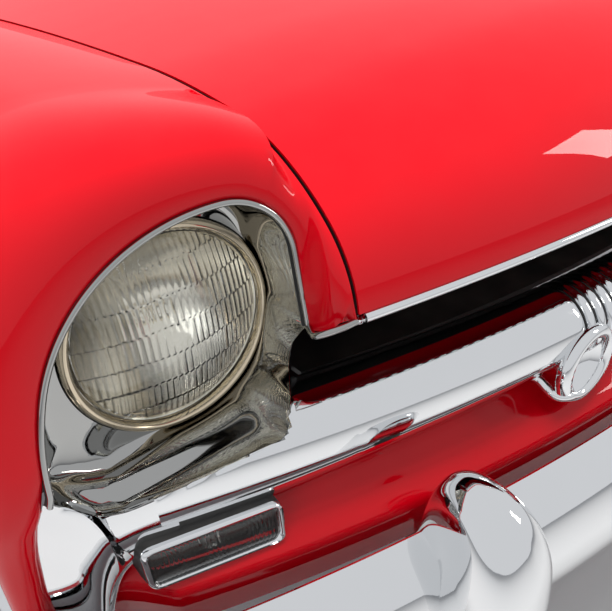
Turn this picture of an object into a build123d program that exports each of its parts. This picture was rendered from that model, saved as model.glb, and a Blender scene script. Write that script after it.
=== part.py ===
from build123d import *
from math import asin, cos, degrees, radians, sin, tan
import os

os.makedirs("parts", exist_ok=True)

# Front end of a 1950s saloon, in millimetres.
# +Z is up, the front faces -Y and the car's left side is +X.
# The origin is under the crossmember, where the assembly rests on its mount.
# Handed pieces are drawn on the +X side and mirrored.

# Headlamp, the scale of the whole assembly
LAMP_X = 630
LAMP_Y = -330
LAMP_Z = 335
RING_R = 94.5
GLASS_R = 86
GLASS_DOME = 23

# Hood
LIP_Y = -505
LIP_Z = 355
LIP_PLAN_R = 2600
HOOD_REAR_Y = 895
HOOD_SKIN = 10
SEAM_GAP = 6
HINGE_Y = 880
HINGE_Z = 482
HINGE_X = 490
FLANGE_WIDTH = 40
FLANGE_HOLE_R = 4.5
FLANGE_HOLE_X = 870
FLANGE_HOLES_Z = (-60, 260)
HINGE_PIN_R = 6

# Seam between hood and wing, seen from above
SEAM_X = 533
SEAM_Y = -240
SEAM_REAR_X = 582
SEAM_HOOK_R = 270
SEAM_HOOK_TURN = 24
SEAM_TIP_R = 110
SEAM_TIP_TURN = 60

# Wing
WING_SKIN = 8
WING_FRONT_Y = -372
WING_REAR_Y = 900
WHEEL_Y = 420
WHEEL_Z = -75
ARCH_R = 385

# Grille bar
BAR_Y = -457
BAR_Z = 230
BAR_R = 45
BAR_BACK = 40
BAR_PLAN_R = 2000
BAR_INNER_X = 262
BAR_TURN_X = 680
BAR_TURN_R = 80
BAR_TURN = 60
BARREL_R = 42
RING_COUNT = 36
RING_WIDTH = 9

# Bumper
BUMPER_TOP_Z = 135
BUMPER_HEIGHT = 185
BUMPER_BULGE = 46
BUMPER_WALL = 6
BUMPER_Y = -551
BUMPER_PLAN_R = 2420
BUMPER_TURN_X = 727
BUMPER_TURN_R = 112
BUMPER_END_Y = -150
BUMPER_HEADING = 84
GUARD_X = 480
GUARD_WIDTH = 92

# Subframe and panels
MEMBER_HEIGHT = 90
MEMBER_DEPTH = 140
MEMBER_HALF = 440
RAIL_WIDTH = 80
RAIL_FRONT_Y = -445
RAIL_FOOT_Z = 10
TUBE_WALL = 6
LIGHTENING_X = 180
LIGHTENING_R = 25
BOLT_X = 400
BOLT_Y = 40
BOLT_HOLE_R = 6.5
PANEL = 6
APRON_X = 594
FLANGE_Y = WING_REAR_Y - PANEL


def side_plane(x):
    """Plane across the car at x, drawn in (Y, Z)."""
    return Plane(origin=(x, 0, 0), x_dir=(0, 1, 0), z_dir=(1, 0, 0))


def cross_plane(y):
    """Plane along the car at y, drawn in (X, Z)."""
    return Plane(origin=(0, y, 0), x_dir=(1, 0, 0), z_dir=(0, -1, 0))


def box(x0, x1, y0, y1, z0, z1):
    centre = ((x0 + x1) / 2, (y0 + y1) / 2, (z0 + z1) / 2)
    return Pos(*centre) * Box(x1 - x0, y1 - y0, z1 - z0)


def slab(face, y0, y1):
    """Extrude a face drawn in (X, Z) from y0 to y1."""
    return extrude(cross_plane(y0) * face, y1 - y0, dir=(0, 1, 0))


def both(solid):
    return [solid, mirror(solid, about=Plane.YZ)]


def save(name, solid):
    export_step(solid, f"parts/{name}.step")


def save_pair(name, solid):
    save(name + "_left", solid)
    save(name + "_right", mirror(solid, about=Plane.YZ))


def bow(profile, plan_r, front_y, x0, x1):
    """Turn a (Y, Z) profile about the vertical axis of a plan arc, from x0 to x1."""
    axis_y = front_y + plan_r
    a0 = degrees(asin(x0 / plan_r))
    a1 = degrees(asin(x1 / plan_r))
    axis = Axis((0, axis_y, 0), (0, 0, 1))
    return revolve(profile.rotate(axis, a0), axis, a1 - a0)


def bow_end(plan_r, front_y, x1):
    """Place on the plan arc at x1 and the arc's angle there."""
    a1 = asin(x1 / plan_r)
    return x1, front_y + plan_r * (1 - cos(a1)), degrees(a1)


# Hood surface, one row for each section across the car:
# half width, nose length, nose angle, brow radius, top angle at brow, top radius
HOOD_SECTIONS = [
    (0, 105, 60, 200, 6.0, 17000),
    (300, 112, 57, 180, 5.5, 17000),
    (533, 146, 48, 90, 4.0, 17000),
    (620, 150, 46, 90, 4.0, 17000),
]


def hood_profile(x, nose, nose_angle, brow_r, top_angle, top_r, inset, drop, floor):
    lip_y = LIP_Y + x * x / (2 * LIP_PLAN_R)
    a = radians(nose_angle)
    start = Vector(lip_y + inset * sin(a) - drop * cos(a), LIP_Z - inset * cos(a) - drop * sin(a))
    front = Polyline([start, start + Vector(cos(a), sin(a)) * (nose + drop)])
    brow = JernArc(front @ 1, front % 1, brow_r - inset, top_angle - nose_angle)
    top = JernArc(brow @ 1, brow % 1, top_r - inset, -degrees(1300 / top_r))
    end = top @ 1
    base = Polyline([end, (end.X, floor), (start.X, floor), start])
    return make_face(front.edges() + brow.edges() + top.edges() + base.edges())


def hood_form(inset=0, drop=0, floor=250):
    rows = [(-r[0], *r[1:]) for r in reversed(HOOD_SECTIONS[1:])] + HOOD_SECTIONS
    faces = [side_plane(r[0]) * hood_profile(*r, inset, drop, floor) for r in rows]
    return loft(faces)


def seam_curve(shift):
    """Seam in plan from the nose to the cowl, moved sideways by shift."""
    rear_r = ((SEAM_REAR_X - SEAM_X) ** 2 + (WING_REAR_Y - SEAM_Y) ** 2) / (2 * (SEAM_REAR_X - SEAM_X))
    rear_turn = degrees(asin((WING_REAR_Y - SEAM_Y) / rear_r))
    start = (SEAM_X + shift, SEAM_Y)
    rear = JernArc(start, (0, 1), rear_r, -rear_turn)
    hook = JernArc(start, (0, -1), SEAM_HOOK_R, -SEAM_HOOK_TURN)
    tip = JernArc(hook @ 1, hook % 1, SEAM_TIP_R, SEAM_TIP_TURN)
    return rear, hook, tip


def seam_region(shift):
    """Everything between the centre plane and the seam, on the +X side."""
    rear, hook, tip = seam_curve(shift)
    front_y = LIP_Y - 60
    back = rear @ 1
    nose = tip @ 1
    close = Polyline([nose, (nose.X, front_y), (0, front_y), (0, back.Y + 60), (back.X, back.Y + 60), back])
    face = make_face(rear.edges() + hook.edges() + tip.edges() + close.edges())
    return extrude(Pos(0, 0, -300) * face, 1200)


# Wing surface at its key places along the car:
# y, seam height, crown half width, crown height, shoulder radius, tuck at the foot
WING_KEYS = [
    (WING_FRONT_Y, 438, 640, 458, 135, 22),
    (SEAM_Y, 497, 655, 512, 162, 30),
    (WHEEL_Y, 526, 690, 546, 215, 10),
    (WING_REAR_Y, 534, 700, 556, 200, 10),
]
WING_FOOT_Z = -170
NOSE_STEPS = (0, 0.05, 0.15, 0.3, 0.55)
BODY_STEPS = (SEAM_Y, 80, WHEEL_Y, 660, WING_REAR_Y)


def wing_row(y):
    """Sizes of the wing's section at y: rolled to the nose in front, a parabola behind."""
    front, brow, wheel, rear = WING_KEYS
    if y < SEAM_Y:
        t = (y - WING_FRONT_Y) / (SEAM_Y - WING_FRONT_Y)
        rise = [1 - (1 - t) ** 2.5] + [1 - (1 - t) ** 3] * 4
        return [y] + [a + (b - a) * k for a, b, k in zip(front[1:], brow[1:], rise)]
    ya, yb, yc = brow[0], wheel[0], rear[0]
    wa = (y - yb) * (y - yc) / ((ya - yb) * (ya - yc))
    wb = (y - ya) * (y - yc) / ((yb - ya) * (yb - yc))
    wc = (y - ya) * (y - yb) / ((yc - ya) * (yc - yb))
    return [y] + [a * wa + b * wb + c * wc for a, b, c in zip(brow[1:], wheel[1:], rear[1:])]


def wing_profile(y, seam_z, crown_x, crown_z, shoulder_r, tuck, inset, reach, floor):
    seam_x = 515 if y < SEAM_Y else SEAM_X
    span = crown_x - seam_x
    rise = crown_z - seam_z
    roof_r = (span * span + rise * rise) / (2 * rise) - inset
    inner_x = seam_x - 12 - reach
    turn = degrees(asin((crown_x - inner_x) / roof_r))
    crown = Vector(crown_x, crown_z - inset)
    roof = JernArc(crown, (-1, 0), roof_r, turn)
    shoulder = JernArc(crown, (1, 0), shoulder_r - inset, -90)
    side = shoulder @ 1
    foot = Vector(side.X - tuck, floor)
    inner = roof @ 1
    rest = Polyline([side, foot, (inner.X, floor), inner])
    return make_face(roof.edges() + shoulder.edges() + rest.edges())


def wing_form(inset=0, reach=0, floor=WING_FOOT_Z):
    stations = [WING_FRONT_Y + t * (SEAM_Y - WING_FRONT_Y) for t in NOSE_STEPS] + list(BODY_STEPS)
    faces = [cross_plane(y) * wing_profile(*wing_row(y), inset, reach, floor) for y in stations]
    return loft(faces, ruled=True)


def largest(shape):
    """The biggest solid of a cut, without slivers."""
    return max(shape.solids(), key=lambda s: s.volume)


# Lamp surround seen from the front, about the lamp's centre, outboard positive
RIM_R = 115
RIM_LOW_OUT = (137, -82)
RIM_SIDE_OUT = (115, 0)
RIM_TOP = (0, 113)
RIM_SIDE_IN = (-113, 0)
RIM_NOTCH = (-93, -30)
RIM_LOW_IN = (-62, -100)
RIM_LIP = (92, -112)


def rim_face(grow=0):
    out = Vector(*RIM_SIDE_OUT)
    inn = Vector(*RIM_SIDE_IN)
    arch = ThreePointArc(out, RIM_TOP, inn)
    rest = Polyline([inn, RIM_NOTCH, RIM_LOW_IN, RIM_LIP, RIM_LOW_OUT, out])
    face = Pos(LAMP_X, LAMP_Z) * make_face(arch.edges() + rest.edges())
    if grow:
        face = offset(face, grow)
    return face


RIM_FRONT_Y = -392
RIM_BACK_Y = LAMP_Y + 4


def lamp_turn(points):
    """Revolve a closed outline of (radius, depth behind the lamp's plane) about the lamp's axis."""
    plane = Plane(origin=(LAMP_X, LAMP_Y, LAMP_Z), x_dir=(1, 0, 0), z_dir=(0, 0, 1))
    face = plane * make_face(Polyline(points, close=True))
    return revolve(face, Axis((LAMP_X, LAMP_Y, LAMP_Z), (0, 1, 0)), 360)


# Outer forms shared by several pieces
wing_outer = wing_form()
wing_inner = wing_form(WING_SKIN, 40, WING_FOOT_Z - 60)
hood_outer = hood_form()
hood_inner = hood_form(HOOD_SKIN, 80, 120)
rim_envelope = slab(rim_face(), RIM_FRONT_Y - 60, RIM_BACK_Y)

# Wing with its lamp panel, wheel arch and nose tip
skin = wing_outer - wing_inner
skin = largest(skin - seam_region(SEAM_GAP / 2))
skin = largest(skin - box(480, 1000, WING_FRONT_Y - 5, 60, WING_FOOT_Z - 5, 40))
arch_cut = Pos(750, WHEEL_Y, WHEEL_Z) * Rot(0, 90, 0) * Cylinder(ARCH_R, 500)
skin = largest(skin - arch_cut)
tip = (hood_outer - hood_inner) & box(480, 545, LIP_Y, WING_FRONT_Y + 8, 350, 452)
tip = largest(largest(tip - seam_region(SEAM_GAP / 2)) - rim_envelope)
lamp_panel = box(519, 860, LAMP_Y + 8, LAMP_Y + 12, 224, 500) & wing_inner
lamp_panel = lamp_panel - Pos(LAMP_X, LAMP_Y, LAMP_Z) * Rot(90, 0, 0) * Cylinder(100, 60)
flange = wing_inner - wing_form(WING_SKIN + FLANGE_WIDTH, 40, WING_FOOT_Z - 60)
flange = flange & box(SEAM_REAR_X + SEAM_GAP, 1000, FLANGE_Y, WING_REAR_Y, WING_FOOT_Z, 700)
for z in FLANGE_HOLES_Z:
    flange = flange - Pos(FLANGE_HOLE_X, WING_REAR_Y, z) * Rot(90, 0, 0) * Cylinder(FLANGE_HOLE_R, 60)
fender = skin + tip + lamp_panel + flange
fender = largest(fender - rim_envelope)
save_pair("fender", fender)

# Hood
region = seam_region(-SEAM_GAP / 2)
hood = (hood_outer - hood_inner) & (region + mirror(region, about=Plane.YZ))
hood = hood & box(-700, 700, LIP_Y - 50, HOOD_REAR_Y, LIP_Z, 900)
save("hood_panel", hood)

# Hood frame: a rim under the skin and two ribs, cut to the skin's underside
under_hood = hood_inner & (region + mirror(region, about=Plane.YZ))
ribs = []
for x0, x1, y0, y1 in [(-490, 490, -250, -210), (-490, 490, 820, 860), (-490, -450, -210, 820),
                       (450, 490, -210, 820), (-20, 20, -210, 820)]:
    ribs.append(box(x0, x1, y0, y1, 300, 900))
frame = Part() + ribs
frame_floor = hood_form(HOOD_SKIN + 22, 90, 100)
frame = (frame & under_hood) - frame_floor
save("hood_frame", frame)

# Hood lip trim and ornament
lip_section = side_plane(0) * make_face(Polyline([(LIP_Y - 3, LIP_Z - 9), (LIP_Y + 7, LIP_Z - 9),
                                                   (LIP_Y + 7, LIP_Z), (LIP_Y - 3, LIP_Z)], close=True))
trim_x = 508
lip_trim = bow(lip_section, LIP_PLAN_R, LIP_Y, -trim_x, trim_x)
save("hood_lip_trim", lip_trim)

ornament = box(-210, 210, -600, -400, 414, 432) - hood_outer
ornament_band = hood_form(-12, 0, 250) & box(-210, 210, -600, -380, 414, 432)
save("hood_ornament", ornament_band - hood_outer)

# Lamp: surround, ring, glass, reflector and bucket
dish = lamp_turn([(0, -70), (112, -70), (108, -45), (RING_R + 1.5, -8), (RING_R + 1.5, 10), (0, 10)])
surround = slab(rim_face(), RIM_FRONT_Y, RIM_BACK_Y) - dish
save_pair("headlamp_bezel", surround)
save_pair("headlamp_ring", lamp_turn([(GLASS_R + 0.3, 1), (GLASS_R + 0.3, -7), (89, -10), (92, -9),
                                      (RING_R, -4), (RING_R, 1)]))
dome_r = (GLASS_R ** 2 + GLASS_DOME ** 2) / (2 * GLASS_DOME)
glass_plane = Plane(origin=(LAMP_X, LAMP_Y, LAMP_Z), x_dir=(1, 0, 0), z_dir=(0, 0, 1))
dome_edge = JernArc((0, -GLASS_DOME), (1, 0), dome_r, degrees(asin(GLASS_R / dome_r)))
glass_rest = Polyline([dome_edge @ 1, (GLASS_R, 1), (0, 1), (0, -GLASS_DOME)])
glass = revolve(glass_plane * make_face(dome_edge.edges() + glass_rest.edges()),
                Axis((LAMP_X, LAMP_Y, LAMP_Z), (0, 1, 0)), 360)
save_pair("headlamp_lens", glass)
save_pair("headlamp_reflector", lamp_turn([(82, 1), (RING_R, 1), (RING_R, 4), (80, 4), (70, 40), (48, 62),
                                           (20, 74), (0, 76), (0, 72), (19, 70), (46, 58), (67, 37), (78, 4)]))
save_pair("headlamp_bucket", lamp_turn([(84, 4), (112, 4), (112, 8), (99, 8), (99, 100), (0, 100), (0, 97),
                                        (96, 97), (96, 8), (84, 8)]))

# Grille bars
bar_front = ThreePointArc((-12, BAR_R), (-BAR_R, 0), (-12, -BAR_R))
bar_back = Polyline([(-12, -BAR_R), (20, -BAR_R + 3), (BAR_BACK, -BAR_R + 14), (BAR_BACK, BAR_R - 14),
                     (20, BAR_R - 3), (-12, BAR_R)])
bar_section = side_plane(0) * (Pos(BAR_Y, BAR_Z) * make_face(bar_front.edges() + bar_back.edges()))
bar = bow(bar_section, BAR_PLAN_R, BAR_Y, BAR_INNER_X, BAR_TURN_X)
turn_x, turn_y, turn_a = bow_end(BAR_PLAN_R, BAR_Y, BAR_TURN_X)
corner_x = turn_x - BAR_TURN_R * sin(radians(turn_a))
corner_y = turn_y + BAR_TURN_R * cos(radians(turn_a))
corner_axis = Axis((corner_x, corner_y, 0), (0, 0, 1))
corner_section = (Pos(corner_x, corner_y - BAR_TURN_R - BAR_Y, 0) * bar_section).rotate(corner_axis, turn_a)
bar = bar + revolve(corner_section, corner_axis, BAR_TURN)
bar = bar - slab(rim_face(0.3), RIM_FRONT_Y, RIM_BACK_Y)
bar = bar - wing_outer
save_pair("grille_bar", bar)

# Ribbed barrel between the bars: rings on a bowed core with a flat back
def barrel_piece(radius, x0, x1):
    back = box(-1, 1, BAR_Y + BAR_BACK, BAR_Y + 100, BAR_Z - 100, BAR_Z + 100)
    disc = Pos(BAR_Y + BAR_BACK - BARREL_R + 4, BAR_Z) * Circle(radius)
    section = side_plane(0) * disc - back
    return bow(section, BAR_PLAN_R, BAR_Y, x0, x1)


barrel = barrel_piece(BARREL_R - 5, -BAR_INNER_X, BAR_INNER_X)
ring_pitch = 2 * BAR_INNER_X / RING_COUNT
rings = []
for i in range(RING_COUNT):
    middle = -BAR_INNER_X + (i + 0.5) * ring_pitch
    rings.append(barrel_piece(BARREL_R, middle - RING_WIDTH / 2, middle + RING_WIDTH / 2))
barrel = barrel + rings
save("grille_centre", barrel)

# Bumper
half = BUMPER_HEIGHT / 2
blade_out = ThreePointArc((0, half), (-BUMPER_BULGE, 0), (0, -half))
blade_in = ThreePointArc((0, -half + BUMPER_WALL), (-BUMPER_BULGE + BUMPER_WALL, 0), (0, half - BUMPER_WALL))
blade_ends = [Line((0, -half), (0, -half + BUMPER_WALL)), Line((0, half - BUMPER_WALL), (0, half))]
blade_face = make_face(blade_out.edges() + blade_in.edges() + blade_ends[0].edges() + blade_ends[1].edges())
solid_face = make_face(blade_out.edges() + Line((0, -half), (0, half)).edges())
blade_z = BUMPER_TOP_Z - half


def bumper_form(face):
    section = side_plane(0) * (Pos(BUMPER_Y, blade_z) * face)
    x1, y1, a1 = bow_end(BUMPER_PLAN_R, BUMPER_Y, BUMPER_TURN_X)
    cx = x1 - BUMPER_TURN_R * sin(radians(a1))
    cy = y1 + BUMPER_TURN_R * cos(radians(a1))
    axis = Axis((cx, cy, 0), (0, 0, 1))
    start = (Pos(cx, cy - BUMPER_TURN_R - BUMPER_Y, 0) * section).rotate(axis, a1)
    turn = revolve(start, axis, BUMPER_HEADING - a1)
    heading = radians(BUMPER_HEADING)
    last = (Pos(cx, cy - BUMPER_TURN_R - BUMPER_Y, 0) * section).rotate(axis, BUMPER_HEADING)
    run = (BUMPER_END_Y - cy) / sin(heading) + BUMPER_TURN_R / tan(heading)
    straight = extrude(last, run, dir=(cos(heading), sin(heading), 0))
    wrap = turn + straight
    return bow(section, BUMPER_PLAN_R, BUMPER_Y, -BUMPER_TURN_X, BUMPER_TURN_X) + both(wrap)


bumper = bumper_form(blade_face)
bumper_solid = bumper_form(solid_face)
save("bumper_bar", bumper)

guard_outline = make_face(Polyline([(-498, 120), (-500, 168), (-530, 192), (-580, 176), (-606, 128), (-606, 10),
                                    (-586, -48), (-548, -66), (-540, -50)], close=True))
guard = extrude(side_plane(GUARD_X - GUARD_WIDTH / 2) * guard_outline, GUARD_WIDTH)
guard = largest(guard - bumper_solid - box(300, 600, -540, -300, -200, BUMPER_TOP_Z))
save_pair("bumper_guard", guard)

iron = box(MEMBER_HALF, MEMBER_HALF + 12, BUMPER_Y - 60, -330, 15, 80)
iron = largest(iron - bumper)
save_pair("bumper_iron", iron)

# Valance
valance_outline = Polyline([(BAR_BACK, 10), (BAR_BACK, -38), (-48, -100), (-46, -140), (-40, -140), (-42, -103),
                            (BAR_BACK + PANEL, -41), (BAR_BACK + PANEL, 10)], close=True)
valance_section = side_plane(0) * (Pos(BAR_Y, BAR_Z) * make_face(valance_outline))
valance = bow(valance_section, BAR_PLAN_R, BAR_Y, -760, 760)
valance = valance - wing_outer - mirror(wing_outer, about=Plane.YZ)

# Turn signals, let into the valance
signal = Pos(660, -360, 152) * Box(140, 90, 52)
signal_cavity = Pos(660, -380, 152) * Box(130, 90, 42)
signal_lens = Pos(660, -398, 152) * Box(130, 8, 42)
valance = valance - both(signal) - both(iron)
signal_body = signal - signal_cavity - bar
save("valance", valance)
save_pair("turn_signal_housing", signal_body)
save_pair("turn_signal_lens", signal_lens - bar)

# Subframe: a crossmember tube and two rails, with bolt holes and lightening holes
member = box(-MEMBER_HALF, MEMBER_HALF, -MEMBER_DEPTH / 2, MEMBER_DEPTH / 2, 0, MEMBER_HEIGHT)
rail_in = MEMBER_HALF - RAIL_WIDTH
hollow = box(-rail_in, rail_in, -MEMBER_DEPTH / 2 + TUBE_WALL, MEMBER_DEPTH / 2 - TUBE_WALL,
             TUBE_WALL, MEMBER_HEIGHT - TUBE_WALL)
member = member - hollow
rail = box(rail_in, MEMBER_HALF, RAIL_FRONT_Y, -MEMBER_DEPTH / 2, RAIL_FOOT_Z, MEMBER_HEIGHT)
rail_hollow = box(rail_in + TUBE_WALL, MEMBER_HALF - TUBE_WALL, RAIL_FRONT_Y - 1, -MEMBER_DEPTH / 2,
                  RAIL_FOOT_Z + TUBE_WALL, MEMBER_HEIGHT - TUBE_WALL)
subframe = member + both(rail - rail_hollow)
lightening = Pos(LIGHTENING_X, 0, MEMBER_HEIGHT / 2) * Rot(90, 0, 0) * Cylinder(LIGHTENING_R, 2 * MEMBER_DEPTH)
bolts = [Pos(x, y, 0) * Cylinder(BOLT_HOLE_R, 4 * MEMBER_HEIGHT)
         for x in (-BOLT_X, BOLT_X) for y in (-BOLT_Y, BOLT_Y)]
subframe = subframe - both(lightening) - bolts
save("front_subframe", subframe)

# Radiator support and radiator
support = box(-560, 560, 0, PANEL, MEMBER_HEIGHT, 455) - box(-330, 330, -1, PANEL + 1, 130, 420)
wing_side = box(516, 860, 0, PANEL, MEMBER_HEIGHT, 520) & wing_inner & box(560, 900, -10, 20, 0, 600)
support = support + both(wing_side)
save("radiator_support", support)
save("radiator", box(-350, 350, PANEL, PANEL + 60, 110, 440))

# Air duct and upper panel
duct_zone = Pos(0, BAR_Y + BAR_PLAN_R, 0) * Cylinder(BAR_PLAN_R - BAR_BACK - PANEL, 2000)
duct_floor = box(-512, 512, -480, 0, 226, 232) & duct_zone
duct_side = box(512, 518, -325, 0, 226, 440)
duct = duct_floor + both(duct_side)
save("air_duct", duct)
save("upper_panel", box(-518, 518, -340, 0, 440, 444))

# Inner wings
apron = box(APRON_X, APRON_X + PANEL, PANEL, FLANGE_Y, 40, 600) & wing_inner
house = Pos(750, WHEEL_Y, WHEEL_Z) * Rot(0, 90, 0) * Cylinder(ARCH_R + PANEL, 500)
house = (house - arch_cut) & box(APRON_X + PANEL, 1000, PANEL, FLANGE_Y, WHEEL_Z, 600) & wing_inner
apron = apron + house
save_pair("inner_fender", apron)

# Hood hinges
pivot = Pos(HINGE_X, HINGE_Y, HINGE_Z) * Rot(0, 90, 0)
ear_x = HINGE_X + 8 + SEAM_GAP
bracket = box(ear_x, ear_x + PANEL, 830, 892, 440, HINGE_Z + 18) + box(ear_x, APRON_X, 830, 892, 440, 446)
pin = pivot * Pos(0, 0, 5) * Cylinder(HINGE_PIN_R, 26)
save_pair("hinge_bracket", bracket + pin)
arm_outline = Polyline([(894, 468), (894, 498), (850, 502), (815, 522), (700, 516), (700, 494), (840, 468)], close=True)
arm = extrude(side_plane(HINGE_X) * make_face(arm_outline), 8)
arm = arm - pivot * Cylinder(HINGE_PIN_R + 0.1, 60)
save_pair("hinge_arm", arm)
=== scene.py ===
from math import asin, atan2, cos, degrees, hypot, pi, radians, sin, sqrt, tan

import bmesh
import bpy
import numpy as np
from mathutils import Matrix, Vector


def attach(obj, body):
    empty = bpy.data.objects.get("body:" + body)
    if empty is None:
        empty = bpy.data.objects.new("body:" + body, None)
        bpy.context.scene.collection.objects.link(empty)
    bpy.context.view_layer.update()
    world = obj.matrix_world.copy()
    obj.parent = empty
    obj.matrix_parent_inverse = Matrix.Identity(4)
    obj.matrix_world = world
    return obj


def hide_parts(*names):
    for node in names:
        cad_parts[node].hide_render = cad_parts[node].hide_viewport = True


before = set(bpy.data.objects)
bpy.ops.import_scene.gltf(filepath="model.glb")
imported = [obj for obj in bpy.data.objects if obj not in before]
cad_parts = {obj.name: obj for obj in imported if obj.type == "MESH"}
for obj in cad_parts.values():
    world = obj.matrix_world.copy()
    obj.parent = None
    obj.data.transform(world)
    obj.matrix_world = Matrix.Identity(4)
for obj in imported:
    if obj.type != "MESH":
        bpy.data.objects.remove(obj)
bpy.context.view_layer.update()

bl_info = {
    "name": "Saloon front end",
    "version": (1, 0, 0),
    "blender": (4, 5, 0),
    "location": "View3D > Sidebar > Front end",
    "description": "Dresses the front end of a 1950s saloon: enamel panels, chrome, lamps and grille",
    "category": "Object",
}

# Sizes in this file are millimetres in the frame of the part: +Z up, the nose at -Y, the car's left at +X.
# Handed pieces are drawn at +X, where x is called u, and mirrored for the right side.
MM = 0.001
SIDES = (("left", 1), ("right", -1))

# Lamp
LAMP = (630, -330, 335)
RING_R = 94.5
GLASS_R = 86
GLASS_DOME = 23
BOWL_DEPTH = 70
# Lamp glass: columns and points in each, and steps round the pieces that are turned
GLASS_COLUMNS = 241
GLASS_POINTS = 99
TURN_STEPS = 96
# Flutes of the glass: rows and pitch
LENS_ROWS = 7
FLUTE_PITCH = 5.4
# Lamp surround: points round it and down its wall, how straight the wall runs in, and its shelf's wave
SURROUND_POINTS = 260
SURROUND_ROWS = 28
SURROUND_STRAIGHT = 0.85
SHELF_WAVE = 5
BEAD_R = 2.6
TIP_STRIP_R = 2.8
GASKET_R = 3.0

# Hood
LIP_Y = -505
LIP_Z = 355
LIP_PLAN_R = 2600
HOOD_REAR_Y = 895
NOSE_HALF = 530
HOOD_ANGLES = ((85, 3), (50, -3), (12, -1), (6, -3))
HOOD_RADII = ((140, -35), (260, -47), (1200, -140), (20000, 0))
# Ribs under the hood: x from and to, y from and to
HOOD_RIBS = ((-470, 470, -250, -210), (-490, 490, 820, 860), (-490, -450, -210, 820), (450, 490, -210, 820),
             (-20, 20, -210, 820))
HOOD_RIB_DROP = 9
HOOD_RIB_DEPTH = 14
ORNAMENT_Z = 424
# Grid of the hood's skin, and how much closer its rows are at the nose
HOOD_COLUMNS = 73
HOOD_ROWS = 90
HOOD_ROW_SPREAD = 1.7

# Seam between hood and wing
SEAM_U = 530
SEAM_Y = -240
SEAM_R = 12522
TIP_Y = -451

# Wing sections: y, crown half width, crown height, shoulder radius, tuck at the foot
WING_KEYS = ((-240, 655, 512, 162, 30), (420, 690, 546, 215, 10), (900, 700, 556, 200, 10))
WING_REAR_Y = 900
FOOT_Z = -170
FRONT_FOOT_Z = 40
FRONT_CUT_Y = 60
WHEEL_Y = 420
WHEEL_Z = -75
ARCH_R = 385

# Rim of the lamp opening, drawn in (u, z) from the foot of the wing tip over the lamp
RIM_START = (547, 334)
RIM_CHAIN = ((66, 0), (49, -90), (163, -68), (258, -17.6))
# The rim lies in a plane: y at a place (u, z), and how much y grows per millimetre of u and of z
RIM_Y = -405
RIM_PLACE = (547, 370)
RIM_RAKE = (0.195, 0.125)
# Front edge of the wing below the rim: height, half width, y
FRONT_EDGE = ((269, 768, -374), (235, 780, -361), (200, 787, -350), (140, 794, -341), (40, 797, -335))

# Grille bars and barrel
BAR_Y = -476
BAR_Z = 228
BAR_R = 42
BAR_PLAN_R = 2000
BAR_END_U = 262
BAR_STATIONS = 110
# Point of the bar's outline that its bead follows, and the bead's points and radii
BEAD_PLACE = 43
EDGE_POINTS = 130
BEAD_POINTS = 230
BEAD_THIN = 4.2
BEAD_THICK = 8.5
# The rolled hook at the bar's inner end: centre and radius of its bead
HOOK_U = 264
HOOK_Z = 196
HOOK_Y = BAR_Y - 19
HOOK_R = 38
SLEEVE_U = 520
BARREL_CORE_R = 36
LEG_START_U = 685
LEG_U = 752
LEG_DROP = 71
# How far the bar's lower half reaches below its axis: u, drop
BAR_DROPS = ((380, 42), (450, 45.6), (500, 49.6), (540, 53.5), (580, 57.6), (620, 61.3), (650, 65),
             (LEG_START_U, LEG_DROP))
LEG_FOOT_Z = 100
# Inner edge of the leg: u, height
LEG_EDGE = ((685, 158), (700, 157.5), (714, 155), (725, 150), (735, 139.5), (745, 126), (753, 111),
            (758, 100))
LEG_ROWS = 56
# Outboard corner over the leg
CORNER_TOP = (768, -371, 262)
# Shares of the leg's rows that end under the shelf, and under it or at the outboard corner
LEG_UNDER = 0.35
LEG_CORNER = 0.6

# Valance: half width, where its raised panel's arch ends, and how far the panel stands out
VALANCE_HALF = 752
VALANCE_ARCH_U = 330
VALANCE_RAISE = 3.0
# Behind the leg the valance falls back: how far, from u on and over a length
VALANCE_TAPER = 26
VALANCE_TAPER_U = 700
VALANCE_TAPER_LENGTH = 40
# How far the valance reaches over the turn signal's edge: at its ends, below and above
OPENING_ENDS = 6
OPENING_BELOW = 7
OPENING_ABOVE = 5

# Bumper
BUMPER_Y = -551
BUMPER_TOP_Z = 135
BUMPER_HEIGHT = 185
BUMPER_BULGE = 46
BUMPER_PLAN_R = 2420
BUMPER_TURN_U = 727
BUMPER_TURN_R = 112
BUMPER_END_Y = -150
BUMPER_HEADING = 84
# Guards: distance from the centre line
GUARD_U = 480
# Guard's crest from its rear end over the top and down the front: y, height, half width
GUARD_CREST = ((-493, 128, 26), (-494, 165, 26), (-502, 194, 26), (-520, 208, 28), (-548, 207, 35),
               (-575, 194, 42), (-594, 170, 45), (-603, 140, 46), (-605, 90, 46), (-603, 40, 45),
               (-593, -8, 42), (-574, -46, 38), (-552, -64, 34))
# Line that the guard stands on: y, height
GUARD_FOOT = ((-488, 120), (-499, 127), (-512, 122), (-524, 108), (-536, 80), (-542, 40), (-536, 0),
              (-522, -34), (-508, -48))
GUARD_ROWS = 90

# Turn signal: centre, half width and height, corner radius, front, and slant back per millimetre of u
SIGNAL_U = 662
SIGNAL_Z = 162
SIGNAL_HALF = 60
SIGNAL_RISE = 25
SIGNAL_CORNER = 10
SIGNAL_FACE_Y = -409
SIGNAL_SLOPE = 0.28
SIGNAL_POINTS = 96
SIGNAL_MARGIN = 5
SIGNAL_RIB_PITCH = 3.6

# Thickness of the sheets
PANEL_WALL = 1.6
DISH_WALL = 1.2
BAR_WALL = 1.5
BUMPER_WALL = 2.5
GUARD_WALL = 2.0

# How far each edge is folded in
HOOD_HEM = 12
WING_HEM = 13
NOSE_HEM = 12
ARCH_HEM = 16
FOOT_HEM = 8
REAR_HEM = 38

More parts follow.
